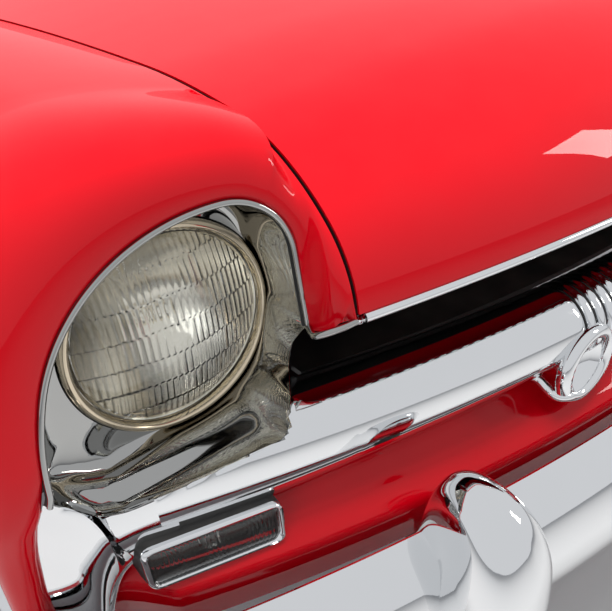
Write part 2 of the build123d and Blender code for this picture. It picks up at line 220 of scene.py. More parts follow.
# Rows of points on a wing's roof, shoulder and side, and along a rib of its nose
ROOF_ROWS = 14
SHOULDER_ROWS = 22
SIDE_ROWS = 16
NOSE_COLUMNS = 26
# Radius of the wing's roll at the rim and at the fin, and the angles about the lamp where the fin begins
ROLL_R = 6
FIN_ROLL_R = 2.5
FIN_ANGLE = 116
FIN_TURN = 34
# Inner lip of the rim, back and outwards, and how far a rib keeps its first and its last direction
RIM_LIP = 14
RIM_LIP_OUT = 3
RIB_LEAVE = 0.42
RIB_ARRIVE = 0.36
# The wing's roof stands this much higher over the top of the apron, from y back over a length
APRON_LIFT = 12
APRON_LIFT_Y = 480
APRON_LIFT_LENGTH = 170
# Angle about the lamp at which the rim starts
RIM_START_ANGLE = 180.6

# Screws along the upper panel
PANEL_SCREWS = 9

# An edge sharper than this many degrees stays hard
SHARP_ANGLE = 42

# Stage: the camera's place in metres, and its azimuth, elevation and roll in degrees
CAMERA_PLACE = (-0.80685, -0.77084, 0.62614)
CAMERA_AIM = (-35.73, 31.48, 5.22)
SENSOR_WIDTH = 36
CAMERA_FOCAL = 661 / 612 * SENSOR_WIDTH
FLOOR_Z = -420
FLOOR_HALF = 6000
SOFT_LIGHT = (0.30, 0.31, 0.33)
SURROUNDINGS = (0.70, 0.71, 0.73)
# name, place and aim in metres, size, colour, whether shiny pieces mirror it
LAMPS = (
    ("overhead", (-0.6, 0.0, 3.0), (0, 0.1, 0.3), (2.4, 1.6), (1.0, 0.99, 0.97), False),
    ("left_key", (2.6, -2.6, 1.9), (0, -0.1, 0.3), (0.5, 1.2), (1.0, 0.97, 0.93), True),
    ("right_fill", (-3.0, -1.8, 1.4), (0, -0.1, 0.2), (1.4, 1.2), (0.93, 0.96, 1.0), False),
)


def smooth(t):
    t = min(max(t, 0.0), 1.0)
    return t * t * (3 - 2 * t)


def lerp(a, b, t):
    return a + (b - a) * t


def arr(points):
    return np.array(points, dtype=float)


def chain(start, heading, moves, step):
    """Points along straight runs (length, 0) and arcs (radius, turn), with their headings."""
    x, y = start
    points = [(x, y, heading)]
    for size, turn in moves:
        length = size if turn == 0 else abs(radians(turn)) * size
        count = max(2, round(length / step))
        for i in range(count):
            h = radians(heading)
            x += cos(h + radians(turn) / count / 2) * length / count
            y += sin(h + radians(turn) / count / 2) * length / count
            heading += turn / count
            points.append((x, y, heading))
    return points


def bezier(p0, p1, p2, p3, count):
    t = np.linspace(0, 1, count)[:, None]
    return (1 - t) ** 3 * p0 + 3 * (1 - t) ** 2 * t * p1 + 3 * (1 - t) * t ** 2 * p2 + t ** 3 * p3


# Hood surface

def lip_y(u):
    """y of the hood's lip at u."""
    return LIP_Y + u * u / (2 * LIP_PLAN_R)


def hood_arcs(u):
    k = (u / NOSE_HALF) ** 2
    angles = [radians(a + b * k) for a, b in HOOD_ANGLES]
    radii = [a + b * k for a, b in HOOD_RADII]
    return angles, radii, lip_y(u)


def hood_at(u, y):
    """Height of the hood surface at (u, y)."""
    angles, radii, y0 = hood_arcs(u)
    z0 = LIP_Z
    for i, r in enumerate(radii):
        a = angles[i]
        if i < 3:
            dy = r * (sin(a) - sin(angles[i + 1]))
            if y > y0 + dy:
                y0, z0 = y0 + dy, z0 + r * (cos(angles[i + 1]) - cos(a))
                continue
        b = asin(sin(a) - max(y - y0, 0) / r)
        return z0 + r * (cos(b) - cos(a))


def hood_length(u):
    angles, radii, y0 = hood_arcs(u)
    total = 0
    for i in range(3):
        total += radii[i] * (angles[i] - angles[i + 1])
        y0 += radii[i] * (sin(angles[i]) - sin(angles[i + 1]))
    b = asin(sin(angles[3]) - (HOOD_REAR_Y - y0) / radii[3])
    return total + radii[3] * (angles[3] - b)


def hood_along(u, distance):
    """(y, z) on the hood's section at u, at that distance from the lip."""
    angles, radii, y = hood_arcs(u)
    z = LIP_Z
    for i, r in enumerate(radii):
        a = angles[i]
        arc = r * (a - angles[i + 1]) if i < 3 else 1e9
        turn = min(distance, arc) / r
        y += r * (sin(a) - sin(a - turn))
        z += r * (cos(a - turn) - cos(a))
        distance -= arc
        if distance <= 0:
            return y, z


def seam_u(y):
    if y < SEAM_Y:
        return SEAM_U
    return SEAM_U + SEAM_R - sqrt(SEAM_R ** 2 - (y - SEAM_Y) ** 2)


# Wing surface

def wing_sizes(y):
    """Crown half width, crown height, shoulder radius and tuck at y, by a parabola through the keys."""
    (ya, *a), (yb, *b), (yc, *c) = WING_KEYS
    wa = (y - yb) * (y - yc) / ((ya - yb) * (ya - yc))
    wb = (y - ya) * (y - yc) / ((yb - ya) * (yb - yc))
    wc = (y - ya) * (y - yb) / ((yc - ya) * (yc - yb))
    return [p * wa + q * wb + r * wc for p, q, r in zip(a, b, c)]


def wing_low(y):
    """Lower edge of the wing at y: the wheel arch, or the foot before and behind it."""
    d = abs(y - WHEEL_Y)
    if d < ARCH_R:
        z = WHEEL_Z + sqrt(ARCH_R ** 2 - d ** 2)
        if y < FRONT_CUT_Y:
            return max(z, FRONT_FOOT_Z)
        return z
    return FRONT_FOOT_Z if y < FRONT_CUT_Y else FOOT_Z


def wing_section(y, gap):
    """Points (u, y, z) from the seam over the crown and down the side."""
    crown_u, crown_z, shoulder, tuck = wing_sizes(y)
    u0 = seam_u(y) + gap
    z0 = hood_at(seam_u(y), y)
    span, rise = crown_u - u0, crown_z - z0
    roof = (span * span + rise * rise) / (2 * rise)
    a = asin(span / roof)
    points = []
    for i in range(ROOF_ROWS):
        b = a * (1 - i / ROOF_ROWS)
        lift = APRON_LIFT * smooth((y - APRON_LIFT_Y) / APRON_LIFT_LENGTH) * sin(pi * sqrt(i / ROOF_ROWS))
        points.append((crown_u - roof * sin(b), y, crown_z - roof * (1 - cos(b)) + lift))
    for i in range(SHOULDER_ROWS):
        b = pi / 2 * i / SHOULDER_ROWS
        points.append((crown_u + shoulder * sin(b), y, crown_z - shoulder * (1 - cos(b))))
    top = crown_z - shoulder
    low = min(wing_low(y), top - 5)
    for i in range(SIDE_ROWS + 1):
        z = lerp(top, low, i / SIDE_ROWS)
        points.append((crown_u + shoulder - tuck * (top - z) / (top - FOOT_Z), y, z))
    return arr(points)


def rim_plane(u, z):
    """y of the rim's plane."""
    return RIM_Y + RIM_RAKE[0] * (u - RIM_PLACE[0]) + RIM_RAKE[1] * (z - RIM_PLACE[1])


def rim_arch(step=3):
    """Points (u, y, z) of the rim from the wing tip over the lamp to the outboard corner."""
    return arr([(u, rim_plane(u, z), z) for u, z, _ in chain(RIM_START, 90, RIM_CHAIN, step)])


def around(point):
    return degrees(atan2(point[2] - LAMP[2], point[0] - LAMP[0]))


def rim_at(angle):
    """Rim point at an angle about the lamp's centre, 0 outboard and 90 above."""
    points = rim_arch()
    angles = [around(p) for p in points]
    angles[0] = RIM_START_ANGLE
    return arr([np.interp(-angle, [-a for a in angles], points[:, k]) for k in range(3)])


def nose_rib(p0, p3, angle, seam):
    """From the rim outwards and back to the wing's section, or (seam 1) flush with the hood at the seam."""
    radial = arr((cos(radians(angle)), 0, sin(radians(angle))))
    ahead = arr((0, -1, 0))
    fin = smooth((angle - FIN_ANGLE) / FIN_TURN)
    t0 = radians(5 + 83 * fin)
    start = radial * cos(t0) + ahead * sin(t0)
    round_r = lerp(ROLL_R, FIN_ROLL_R, fin)
    p0 = p0 + start * round_r
    end = -ahead
    if seam:
        rise = (hood_at(p3[0], p3[1] + 2) - hood_at(p3[0], p3[1])) / 2
        normal = arr((0, -rise, 1)) / hypot(rise, 1)
        along = p3 - p0
        along = along - normal * along.dot(normal)
        end = end * (1 - seam) + seam * along / np.linalg.norm(along)
    span = np.linalg.norm(p3 - p0)
    rib = bezier(p0, p0 + start * span * RIB_LEAVE, p3 - end * span * RIB_ARRIVE, p3, NOSE_COLUMNS)
    roll = []
    for b in (90, 60, 30):
        r = radians(b)
        roll.append(p0 - start * round_r * sin(r) - ahead * round_r * (1 - cos(r)))
    return np.vstack([p0 - start * round_r - ahead * RIM_LIP + radial * RIM_LIP_OUT, roll, rib])


# Meshes

def make(name, grids, sign=1, toward=None, thickness=0.0):
    """One mesh object from grids of points in millimetres, mirrored for the right side and given a wall."""
    verts, faces = [], []
    for grid in grids:
        g = np.array(grid, dtype=float)
        rows, columns = g.shape[:2]
        base = len(verts)
        verts += [(sign * x * MM, y * MM, z * MM) for x, y, z in g.reshape(-1, 3)]
        for i in range(rows - 1):
            for j in range(columns - 1):
                a = base + i * columns + j
                faces.append((a, a + columns, a + columns + 1, a + 1))
    return from_faces(name, verts, faces, sign, toward, thickness)


def sheet_rims(front, back):
    """The four walls between two grids of the same size."""
    return [[front[0], back[0]], [front[-1], back[-1]],
            [[r[0] for r in front], [r[0] for r in back]], [[r[-1] for r in front], [r[-1] for r in back]]]


def from_faces(name, verts, faces, sign=1, toward=None, thickness=0.0):
    mesh = bpy.data.meshes.new(name)
    mesh.from_pydata(verts, [], faces)
    bm = bmesh.new()
    bm.from_mesh(mesh)
    bmesh.ops.remove_doubles(bm, verts=bm.verts, dist=2e-6)
    bmesh.ops.dissolve_degenerate(bm, edges=bm.edges, dist=1e-6)
    bmesh.ops.recalc_face_normals(bm, faces=bm.faces)
    if toward is not None:
        aim = Vector((sign * toward[0], toward[1], toward[2]))
        if sum(f.calc_area() * f.normal.dot(aim) for f in bm.faces) < 0:
            bmesh.ops.reverse_faces(bm, faces=bm.faces)
    for f in bm.faces:
        f.smooth = True
    bm.to_mesh(mesh)
    bm.free()
    obj = bpy.data.objects.new(name, mesh)
    bpy.context.collection.objects.link(obj)
    if thickness:
        mod = obj.modifiers.new("Wall", "SOLIDIFY")
        mod.thickness = thickness * MM
        mod.offset = -1
        mod.use_even_offset = False
    return settle(obj)


def settle(obj):
    """Turns an object's modifiers into plain mesh."""
    if obj.modifiers:
        graph = bpy.context.evaluated_depsgraph_get()
        mesh = bpy.data.meshes.new_from_object(obj.evaluated_get(graph))
        obj.modifiers.clear()
        obj.data = mesh
    sharpen(obj.data)
    return obj


def sharpen(mesh):
    """Smooth faces, with edges sharper than SHARP_ANGLE kept hard."""
    bm = bmesh.new()
    bm.from_mesh(mesh)
    for f in bm.faces:
        f.smooth = True
    for e in bm.edges:
        e.smooth = len(e.link_faces) != 2 or e.calc_face_angle(0) < radians(SHARP_ANGLE)
    bm.to_mesh(mesh)
    bm.free()


def tube(path, radii, sides=12, squash=1.0, up=(0, 0, 1)):
    """Grid of points round a path; radii is one number or one for each point."""
    p = arr(path)
    count = len(p)
    r = np.full(count, float(radii)) if np.isscalar(radii) else arr(radii)
    tangent = np.gradient(p, axis=0)
    tangent /= np.linalg.norm(tangent, axis=1)[:, None]
    side = np.cross(tangent, arr(up))
    side /= np.linalg.norm(side, axis=1)[:, None]
    over = np.cross(side, tangent)
    a = np.linspace(0, 2 * pi, sides + 1)
    rows = []
    for i in range(count):
        rows.append(p[i] + r[i] * (np.outer(np.cos(a), side[i]) + squash * np.outer(np.sin(a), over[i])))
    return [np.tile(p[0], (sides + 1, 1))] + rows + [np.tile(p[-1], (sides + 1, 1))]


def turned(points, centre=LAMP, segments=TURN_STEPS):
    """Revolves (radius, depth) points about the line through the centre along y; depth runs back from it."""
    rows = []
    for i in range(segments + 1):
        a = 2 * pi * i / segments
        rows.append([(centre[0] + r * cos(a), centre[1] + d, centre[2] + r * sin(a)) for r, d in points])
    return rows


def joined(name, objects):
    """One object from several."""
    bm = bmesh.new()
    for o in objects:
        bm.from_mesh(o.data)
    mesh = bpy.data.meshes.new(name)
    bm.to_mesh(mesh)
    bm.free()
    obj = bpy.data.objects.new(name, mesh)
    bpy.context.collection.objects.link(obj)
    for o in objects:
        bpy.data.objects.remove(o)
    sharpen(mesh)
    return obj


def dress(obj, body, slot, finish, *nodes):
    """Gives a piece its body and material, and hides the nodes that it stands for."""
    obj.data.materials.clear()
    obj.data.materials.append(finishes()[finish])
    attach(obj, body)
    if nodes:
        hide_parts(*nodes)
    return obj


# Materials

def group(name, inputs, outputs):
    tree = bpy.data.node_groups.new(name, "ShaderNodeTree")
    for label, value in inputs:
        socket = tree.interface.new_socket(label, in_out="INPUT", socket_type="NodeSocketFloat")
        socket.default_value = value
    for label in outputs:
        tree.interface.new_socket(label, in_out="OUTPUT", socket_type="NodeSocketFloat")
    return tree, tree.nodes.new("NodeGroupInput"), tree.nodes.new("NodeGroupOutput")


def add_node(tree, kind, values=None, **settings):
    """A new node with its settings made and some of its inputs set."""
    node = tree.nodes.new(kind)
    for key, value in settings.items():
        setattr(node, key, value)
    for label, value in (values or {}).items():
        node.inputs[label].default_value = value
    return node


def wire(tree, *rows):
    """Links, each given as node, output, node, input."""
    for source, output, sink, entry in rows:
        tree.links.new(source.outputs[output], sink.inputs[entry])


def uneven_group():
    """Broad and fine unevenness of a finish: a mask for colour, one for roughness and a height."""
    name = "Uneven finish"
    if name in bpy.data.node_groups:
        return bpy.data.node_groups[name]
    inputs = (("Broad Scale", 4), ("Fine Scale", 300), ("Streak", 1))
    tree, source, sink = group(name, inputs, ("Colour Mask", "Roughness Mask", "Height"))
    place = add_node(tree, "ShaderNodeTexCoord")
    broad = add_node(tree, "ShaderNodeTexNoise", {"Detail": 4})
    fine = add_node(tree, "ShaderNodeTexNoise", {"Detail": 2})
    wipe = add_node(tree, "ShaderNodeTexNoise", {"Detail": 6, "Distortion": 0.6})
    stretch = add_node(tree, "ShaderNodeVectorMath", {1: (30, 30, 90)}, operation="MULTIPLY")
    mix = add_node(tree, "ShaderNodeMath", {1: 0.6}, operation="MULTIPLY_ADD")
    half = add_node(tree, "ShaderNodeMath", {1: 0.4}, operation="MULTIPLY")
    wire(tree, (place, "Object", broad, "Vector"), (place, "Object", fine, "Vector"),
         (place, "Object", stretch, 0), (stretch, "Vector", wipe, "Vector"),
         (source, "Broad Scale", broad, "Scale"), (source, "Fine Scale", fine, "Scale"),
         (source, "Streak", wipe, "Scale"), (broad, "Fac", mix, 0), (wipe, "Fac", half, 0),
         (half, 0, mix, 2), (broad, "Fac", sink, "Colour Mask"), (mix, 0, sink, "Roughness Mask"),
         (fine, "Fac", sink, "Height"))
    return tree


def dust_group():
    """Dust that settles on upward faces and in patches."""
    name = "Settled dust"
    if name in bpy.data.node_groups:
        return bpy.data.node_groups[name]
    tree, source, sink = group(name, (("Amount", 0.1), ("Patch Scale", 25)), ("Mask",))
    place = add_node(tree, "ShaderNodeTexCoord")
    geometry = add_node(tree, "ShaderNodeNewGeometry")
    split = add_node(tree, "ShaderNodeSeparateXYZ")
    patch = add_node(tree, "ShaderNodeTexNoise", {"Detail": 5})
    up = add_node(tree, "ShaderNodeMapRange", {"From Min": -0.2, "From Max": 1.0})
    spread = add_node(tree, "ShaderNodeMapRange", {"From Min": 0.35, "From Max": 0.75})
    first = add_node(tree, "ShaderNodeMath", operation="MULTIPLY")
    second = add_node(tree, "ShaderNodeMath", operation="MULTIPLY")
    wire(tree, (geometry, "Normal", split, 0), (split, "Z", up, "Value"), (place, "Object", patch, "Vector"),
         (source, "Patch Scale", patch, "Scale"), (patch, "Fac", spread, "Value"),
         (up, "Result", first, 0), (spread, "Result", first, 1), (first, 0, second, 0),
         (source, "Amount", second, 1), (second, 0, sink, "Mask"))
    return tree


# name: colour, darker colour, roughness low, high, metallic, coat, peel scale, peel depth in mm, dust
FINISHES = {
    "enamel": ((0.80, 0.0006, 0.010), (0.66, 0.0004, 0.007), 0.22, 0.34, 0, 0.6, 260, 0.012, 0.010),
    # enamel_shaded_under: the body's red made darker, as painted shade for the pieces under the hood
    "enamel_shaded_under": ((0.30, 0.002, 0.006), (0.22, 0.002, 0.004), 0.45, 0.65, 0, 0.0, 300, 0.03, 0.10),
    "chrome": ((0.86, 0.87, 0.88), (0.78, 0.79, 0.80), 0.02, 0.07, 1, 0.0, 90, 0.010, 0.004),
    # chrome_painted_shade: the chrome made darker, as painted shade for the lamp surround's dish
    "chrome_painted_shade": ((0.46, 0.46, 0.45), (0.38, 0.38, 0.37), 0.02, 0.07, 1, 0.0, 90, 0.010, 0.004),
    "ring_metal": ((0.76, 0.66, 0.50), (0.60, 0.50, 0.36), 0.08, 0.18, 1, 0.0, 200, 0.010, 0.02),
    "reflector": ((0.90, 0.87, 0.80), (0.80, 0.74, 0.62), 0.10, 0.22, 1, 0.0, 120, 0.02, 0.0),
    "black_paint": ((0.012, 0.012, 0.013), (0.022, 0.021, 0.020), 0.35, 0.6, 0, 0.0, 350, 0.03, 0.12),
    "core_metal": ((0.035, 0.035, 0.035), (0.06, 0.05, 0.045), 0.4, 0.65, 0.6, 0.0, 500, 0.02, 0.10),
    "chassis": ((0.03, 0.03, 0.032), (0.055, 0.05, 0.045), 0.45, 0.7, 0.1, 0.0, 220, 0.05, 0.18),
    "rubber": ((0.012, 0.012, 0.012), (0.02, 0.02, 0.02), 0.5, 0.75, 0, 0.0, 400, 0.03, 0.06),
    "screw_steel": ((0.50, 0.50, 0.49), (0.32, 0.31, 0.30), 0.2, 0.4, 1, 0.0, 300, 0.02, 0.05),
}
# name: tint, roughness low, high
GLASSES = {
    "lamp_glass": ((0.98, 0.99, 0.98), 0.0, 0.03),
    "signal_glass": ((0.93, 0.93, 0.90), 0.02, 0.08),
}
DUST_COLOUR = (0.30, 0.27, 0.23)
# The part of a mask's values over which the roughness goes from low to high
MASK_RANGE = {"From Min": 0.3, "From Max": 0.7}


def finishes():
    """All the finishes, made once."""
    made = {name: bpy.data.materials.get("front_" + name) or metal_or_paint(name, *row)
            for name, row in FINISHES.items()}
    for name, row in GLASSES.items():
        made[name] = bpy.data.materials.get("front_" + name) or glass(name, *row)
    return made


def rgba(colour):
    return (*colour, 1)


def metal_or_paint(name, light, dark, low, high, metallic, coat, peel_scale, peel_mm, dust):
    mat = bpy.data.materials.new("front_" + name)
    mat.use_nodes = True
    tree = mat.node_tree
    shader = tree.nodes["Principled BSDF"]
    shader.inputs["Metallic"].default_value = metallic
    shader.inputs["Coat Weight"].default_value = coat
    if coat:
        shader.inputs["Specular IOR Level"].default_value = 0
    shader.inputs["Coat Roughness"].default_value = 0.015
    scales = {"Broad Scale": 5, "Fine Scale": peel_scale}
    uneven = add_node(tree, "ShaderNodeGroup", scales, node_tree=uneven_group())
    dusty = add_node(tree, "ShaderNodeGroup", {"Amount": dust}, node_tree=dust_group())
    tone = add_node(tree, "ShaderNodeMix", {"A": rgba(light), "B": rgba(dark)}, data_type="RGBA")
    over = add_node(tree, "ShaderNodeMix", {"B": rgba(DUST_COLOUR)}, data_type="RGBA")
    rough = add_node(tree, "ShaderNodeMapRange", {**MASK_RANGE, "To Min": low, "To Max": high})
    bump = add_node(tree, "ShaderNodeBump", {"Distance": peel_mm * MM})
    wire(tree, (uneven, "Colour Mask", tone, "Factor"), (tone, "Result", over, "A"),
         (dusty, "Mask", over, "Factor"), (over, "Result", shader, "Base Color"),
         (uneven, "Roughness Mask", rough, "Value"), (rough, "Result", shader, "Roughness"),
         (uneven, "Height", bump, "Height"), (bump, "Normal", shader, "Normal"))
    return mat


def glass(name, tint, low, high):
    mat = bpy.data.materials.new("front_" + name)
    mat.use_nodes = True
    tree = mat.node_tree
    shader = tree.nodes["Principled BSDF"]
    shader.inputs["Transmission Weight"].default_value = 1
    shader.inputs["IOR"].default_value = 1.5
    darker = [c * 0.95 for c in tint]
    uneven = add_node(tree, "ShaderNodeGroup", {"Fine Scale": 200}, node_tree=uneven_group())
    rough = add_node(tree, "ShaderNodeMapRange", {**MASK_RANGE, "To Min": low, "To Max": high})
    tone = add_node(tree, "ShaderNodeMix", {"A": rgba(tint), "B": rgba(darker)}, data_type="RGBA")
    wire(tree, (uneven, "Colour Mask", tone, "Factor"), (tone, "Result", shader, "Base Color"),
         (uneven, "Roughness Mask", rough, "Value"), (rough, "Result", shader, "Roughness"))
    return mat


# Geometry Nodes: copies of a small piece along a path

def copies_tree():
    name = "Copies along a path"
    if name in bpy.data.node_groups:
        return bpy.data.node_groups[name]
    tree = bpy.data.node_groups.new(name, "GeometryNodeTree")
    sockets = {"Path": "Geometry", "Count": "Int", "Piece": "Object", "Material": "Material"}
    for label, kind in sockets.items():
        tree.interface.new_socket(label, in_out="INPUT", socket_type="NodeSocket" + kind)
    tree.interface.new_socket("Copies", in_out="OUTPUT", socket_type="NodeSocketGeometry")
    source = add_node(tree, "NodeGroupInput")
    sink = add_node(tree, "NodeGroupOutput")
    curve = add_node(tree, "GeometryNodeMeshToCurve")
    spaced = add_node(tree, "GeometryNodeResampleCurve")
    tangent = add_node(tree, "GeometryNodeInputTangent")
    aim = add_node(tree, "FunctionNodeAlignRotationToVector", axis="X")
    piece = add_node(tree, "GeometryNodeObjectInfo")
    place = add_node(tree, "GeometryNodeInstanceOnPoints")
    real = add_node(tree, "GeometryNodeRealizeInstances")
    paint = add_node(tree, "GeometryNodeSetMaterial")
    wire(tree, (source, "Path", curve, "Mesh"), (curve, "Curve", spaced, "Curve"),
         (source, "Count", spaced, "Count"), (spaced, "Curve", place, "Points"),
         (source, "Piece", piece, "Object"), (piece, "Geometry", place, "Instance"),
         (tangent, "Tangent", aim, "Vector"), (aim, "Rotation", place, "Rotation"),
         (place, "Instances", real, "Geometry"), (real, "Geometry", paint, "Geometry"),
         (source, "Material", paint, "Material"), (paint, "Geometry", sink, "Copies"))
    return tree


def copies(name, path, count, piece, finish):
    """Copies of a piece, drawn about the origin with its length along X, spaced along a path."""
    mesh = bpy.data.meshes.new(name)
    edges = [(i, i + 1) for i in range(len(path) - 1)]
    mesh.from_pydata([tuple(v * MM for v in p) for p in path], edges, [])
    obj = bpy.data.objects.new(name, mesh)
    bpy.context.collection.objects.link(obj)
    tree = copies_tree()
    mod = obj.modifiers.new("Copies", "NODES")
    mod.node_group = tree
    values = {"Count": count, "Piece": piece, "Material": finishes()[finish]}
    for item in tree.interface.items_tree:
        if item.in_out == "INPUT" and item.name in values:
            mod[item.identifier] = values[item.name]
    settle(obj)
    bpy.data.objects.remove(piece)
    return obj


# Hood

def hood_edge_in(u, y, depth):
    """From the hood surface at (u, y) straight into the metal."""
    rise = (hood_at(u, y + 1) - hood_at(u, y - 1)) / 2 if y > lip_y(u) + 1.5 else 12
    a = atan2(rise, 1)
    return depth * sin(a), -depth * cos(a)


def hood_y(u, z):
    """Where the nose of the hood is at height z."""
    low, high = lip_y(u), 0
    for _ in range(40):
        middle = (low + high) / 2
        low, high = (middle, high) if hood_at(u, middle) < z else (low, middle)
    return low


def hood_grid(half_gap):
    """Rows of the hood's skin from the folded lip to the folded rear, and its two folded side edges."""
    columns = np.linspace(-1, 1, HOOD_COLUMNS)
    stations = np.linspace(0, 1, HOOD_ROWS) ** HOOD_ROW_SPREAD
    grid = []
    for t in stations:
        row = []
        for w in columns:
            u = abs(w) * SEAM_U
            for _ in range(4):
                y, z = hood_along(u, t * hood_length(u))
                u = abs(w) * (seam_u(y) - half_gap)
            row.append([u if w > 0 else -u, y, z])
        grid.append(row)
    grid = arr(grid)
    lip = grid[0] + arr((0, HOOD_HEM, 1.5))
    rear = grid[-1] + arr((0, 0, -HOOD_HEM))
    grid = np.concatenate([lip[None], grid, rear[None]])
    sides = []
    for k in (0, -1):
        edge = grid[:, k].copy()
        for p in edge[1:-1]:
            dy, dz = hood_edge_in(abs(p[0]), p[1], HOOD_HEM)
            p[1] += dy
            p[2] += dz
        edge[0][1] += 2
        edge[-1][2] -= 2
        sides.append(edge[:, None])
    return np.concatenate([sides[0], grid, sides[1]], axis=1), sides


def build_hood_frame():
    """The rim and ribs under the hood, a little below its skin."""
    grids = []
    for x0, x1, y0, y1 in HOOD_RIBS:
        xs = np.linspace(x0, x1, 4 if x1 - x0 < 100 else 40)
        ys = np.linspace(y0, y1, 4 if y1 - y0 < 100 else 40)
        upper = [[(x, y, hood_at(abs(x), y) - HOOD_RIB_DROP) for y in ys] for x in xs]
        lower = [[(x, y, z - HOOD_RIB_DEPTH) for x, y, z in row] for row in upper]
        grids += [upper, lower] + sheet_rims(upper, lower)
    # The frame takes the darkened red: painted shade under the hood.
    dress(make("hood_frame_dressed", grids), "hood", "frame_red", "enamel_shaded_under", "hood_frame")


def build_painted_seam_shade(grid, sides):
    """Black strips along the hood's side edges, seen through the seams: painted shade in the seams."""
    seam_shade_strips = []
    for k, sign in ((0, -1), (-1, 1)):
        edge = grid[1:-1, 1 if k == 0 else -2]
        deep = sides[k][1:-1, 0]
        out = arr((0.45 * sign, 0, 0))
        seam_shade_strips.append(make("hood_edge_lining", [[edge * 0.88 + deep * 0.12 + out, deep + out]]))
    dress(joined("hood_edge_linings", seam_shade_strips), "hood", "black_paint", "rubber")


def build_lip_trim(count):
    """The strip along the hood's lip and the teeth under it."""
    path = [(u, lip_y(u) + 1, LIP_Z - 4.5) for u in np.linspace(-523, 523, 60)]
    strip = make("lip_strip", [tube(path, 4.5, 14, squash=0.95)])
    bowl = []
    for r in np.linspace(0, 1, 5):
        deep = -6 * sqrt(max(0, 1 - r * r))
        bowl.append([(4.5 * r * cos(a), 4.2 * r * sin(a), deep) for a in np.linspace(0, 2 * pi, 13)])
    tooth = make("tooth", [bowl], toward=(0, 0, -1))
    under = [(u, y + 6, z - 3) for u, y, z in path]
    teeth = copies("lip_teeth", under, count, tooth, "chrome")
    dress(joined("hood_lip_trim_dressed", [strip, teeth]), "hood", "chrome", "chrome", "hood_lip_trim")


def build_ornament():
    """The plain bar on the hood's nose, pointed at both ends."""
    path, radii = [], []
    for u in np.linspace(-205, 205, 50):
        k = sqrt(max(0.0, 1 - (u / 206) ** 2)) ** 0.6
        path.append((u, hood_y(u, ORNAMENT_Z) - 3 * k, ORNAMENT_Z))
        radii.append(1.2 + 7.5 * k)
    ornament = make("hood_bar", [tube(path, radii, 16, squash=0.62)])
    dress(ornament, "hood", "chrome", "chrome", "hood_ornament")


def build_hood(sizes):
    grid, sides = hood_grid(sizes.seam_gap / 2)
    hood = make("hood_skin", [grid], toward=(0, -0.4, 1), thickness=PANEL_WALL)
    dress(hood, "hood", "body_red", "enamel", "hood_panel")
    build_hood_frame()
    # Black strips in the seams: painted shade.
    build_painted_seam_shade(grid, sides)
    build_lip_trim(sizes.lip_teeth)
    build_ornament()


# Wings

def seam_point(y, gap):
    return arr((seam_u(y) + gap, y, hood_at(seam_u(y), y)))


def nose_grid(gap):
    """Rows from the wing tip along the seam, then over the crown and down; columns from the rim back."""
    tip = seam_point(TIP_Y + 2, gap)
    first, last = around(tip), around(seam_point(SEAM_Y, gap))
    corner = arr((SEAM_U + gap, TIP_Y - 2, 351.5))
    rows = [nose_rib(rim_at(RIM_START_ANGLE) + arr((0, 0, -1.5)), corner, first, 1.0)]
    ys = list(TIP_Y + 2 + (SEAM_Y - TIP_Y - 2) * np.linspace(0, 1, 46)[:-1] ** 1.5)
    for y in ys:
        p3 = seam_point(y, gap)
        angle = around(p3)
        k = (angle - last) / (first - last)
        rows.append(nose_rib(rim_at(angle + (RIM_START_ANGLE - first) * max(k, 0)), p3, angle, 1.0))
    for i, p3 in enumerate(wing_section(SEAM_Y, gap)):
        angle = around(p3)
        if angle > -20:
            p0 = rim_at(angle)
        else:
            top, bottom = LAMP[2] - tan(radians(20)) * (p3[0] - LAMP[0]), FRONT_FOOT_Z
            z = FRONT_FOOT_Z + (p3[2] - bottom) * (FRONT_EDGE[0][0] - bottom) / (top - bottom)
            z = min(z, FRONT_EDGE[0][0])
            u, y = edge_at(z)
            p0 = arr((u, y, z))
            angle = 0
        rows.append(nose_rib(p0, p3, angle, 1 - smooth(i / ROOF_ROWS)))
    return arr(rows)


def edge_at(z):
    heights = [row[0] for row in FRONT_EDGE][::-1]
    return [np.interp(z, heights, [row[k] for row in FRONT_EDGE][::-1]) for k in (1, 2)]


def build_wings(sizes):
    gap = sizes.seam_gap / 2
    nose = nose_grid(gap)
    arch = [WHEEL_Y - ARCH_R * cos(a) for a in np.linspace(0.03, pi - 0.03, 40)]
    ys = sorted(list(np.linspace(SEAM_Y, 30, 12)) + arch + list(np.linspace(812, WING_REAR_Y, 6)))
    body = np.stack([wing_section(y, gap) for y in ys], axis=1)

    def edge_hem(points):
        out = points.copy()
        for p in out:
            dy, dz = hood_edge_in(SEAM_U, min(p[1], 850), WING_HEM)
            p[1] += dy
            p[2] += dz
        return out

    fin_rows = len(nose) - body.shape[0]
    fin_edge = nose[:fin_rows + 1, -1]
    body_edge = body[0]
    under = nose[0] + arr((0, NOSE_HEM, 2))
    inward = [-ARCH_HEM if abs(y - WHEEL_Y) < ARCH_R else -FOOT_HEM for y in ys]
    arch_hem = body[-1] + arr([(du, 0, 2) for du in inward])
    rear_hem = body[:, -1].copy()
    crown_u = wing_sizes(WING_REAR_Y)[0]
    for p in rear_hem:
        v = arr((crown_u - 60, WING_REAR_Y, 300)) - p
        v[1] = 0
        p += v / max(np.linalg.norm(v), 1) * REAR_HEM
    for name, sign in SIDES:
        hems = [[fin_edge, edge_hem(fin_edge)], [body_edge, edge_hem(body_edge)], [nose[0], under],
                [body[-1], arch_hem], [body[:, -1], rear_hem]]
        wing = make("wing_skin_" + name, [nose, body] + hems, sign, toward=(1, -0.6, 0.9),
                    thickness=PANEL_WALL)
        dress(wing, "front_body", "body_red", "enamel", "fender_" + name)


# Lamp surround, ring, glass and bowl

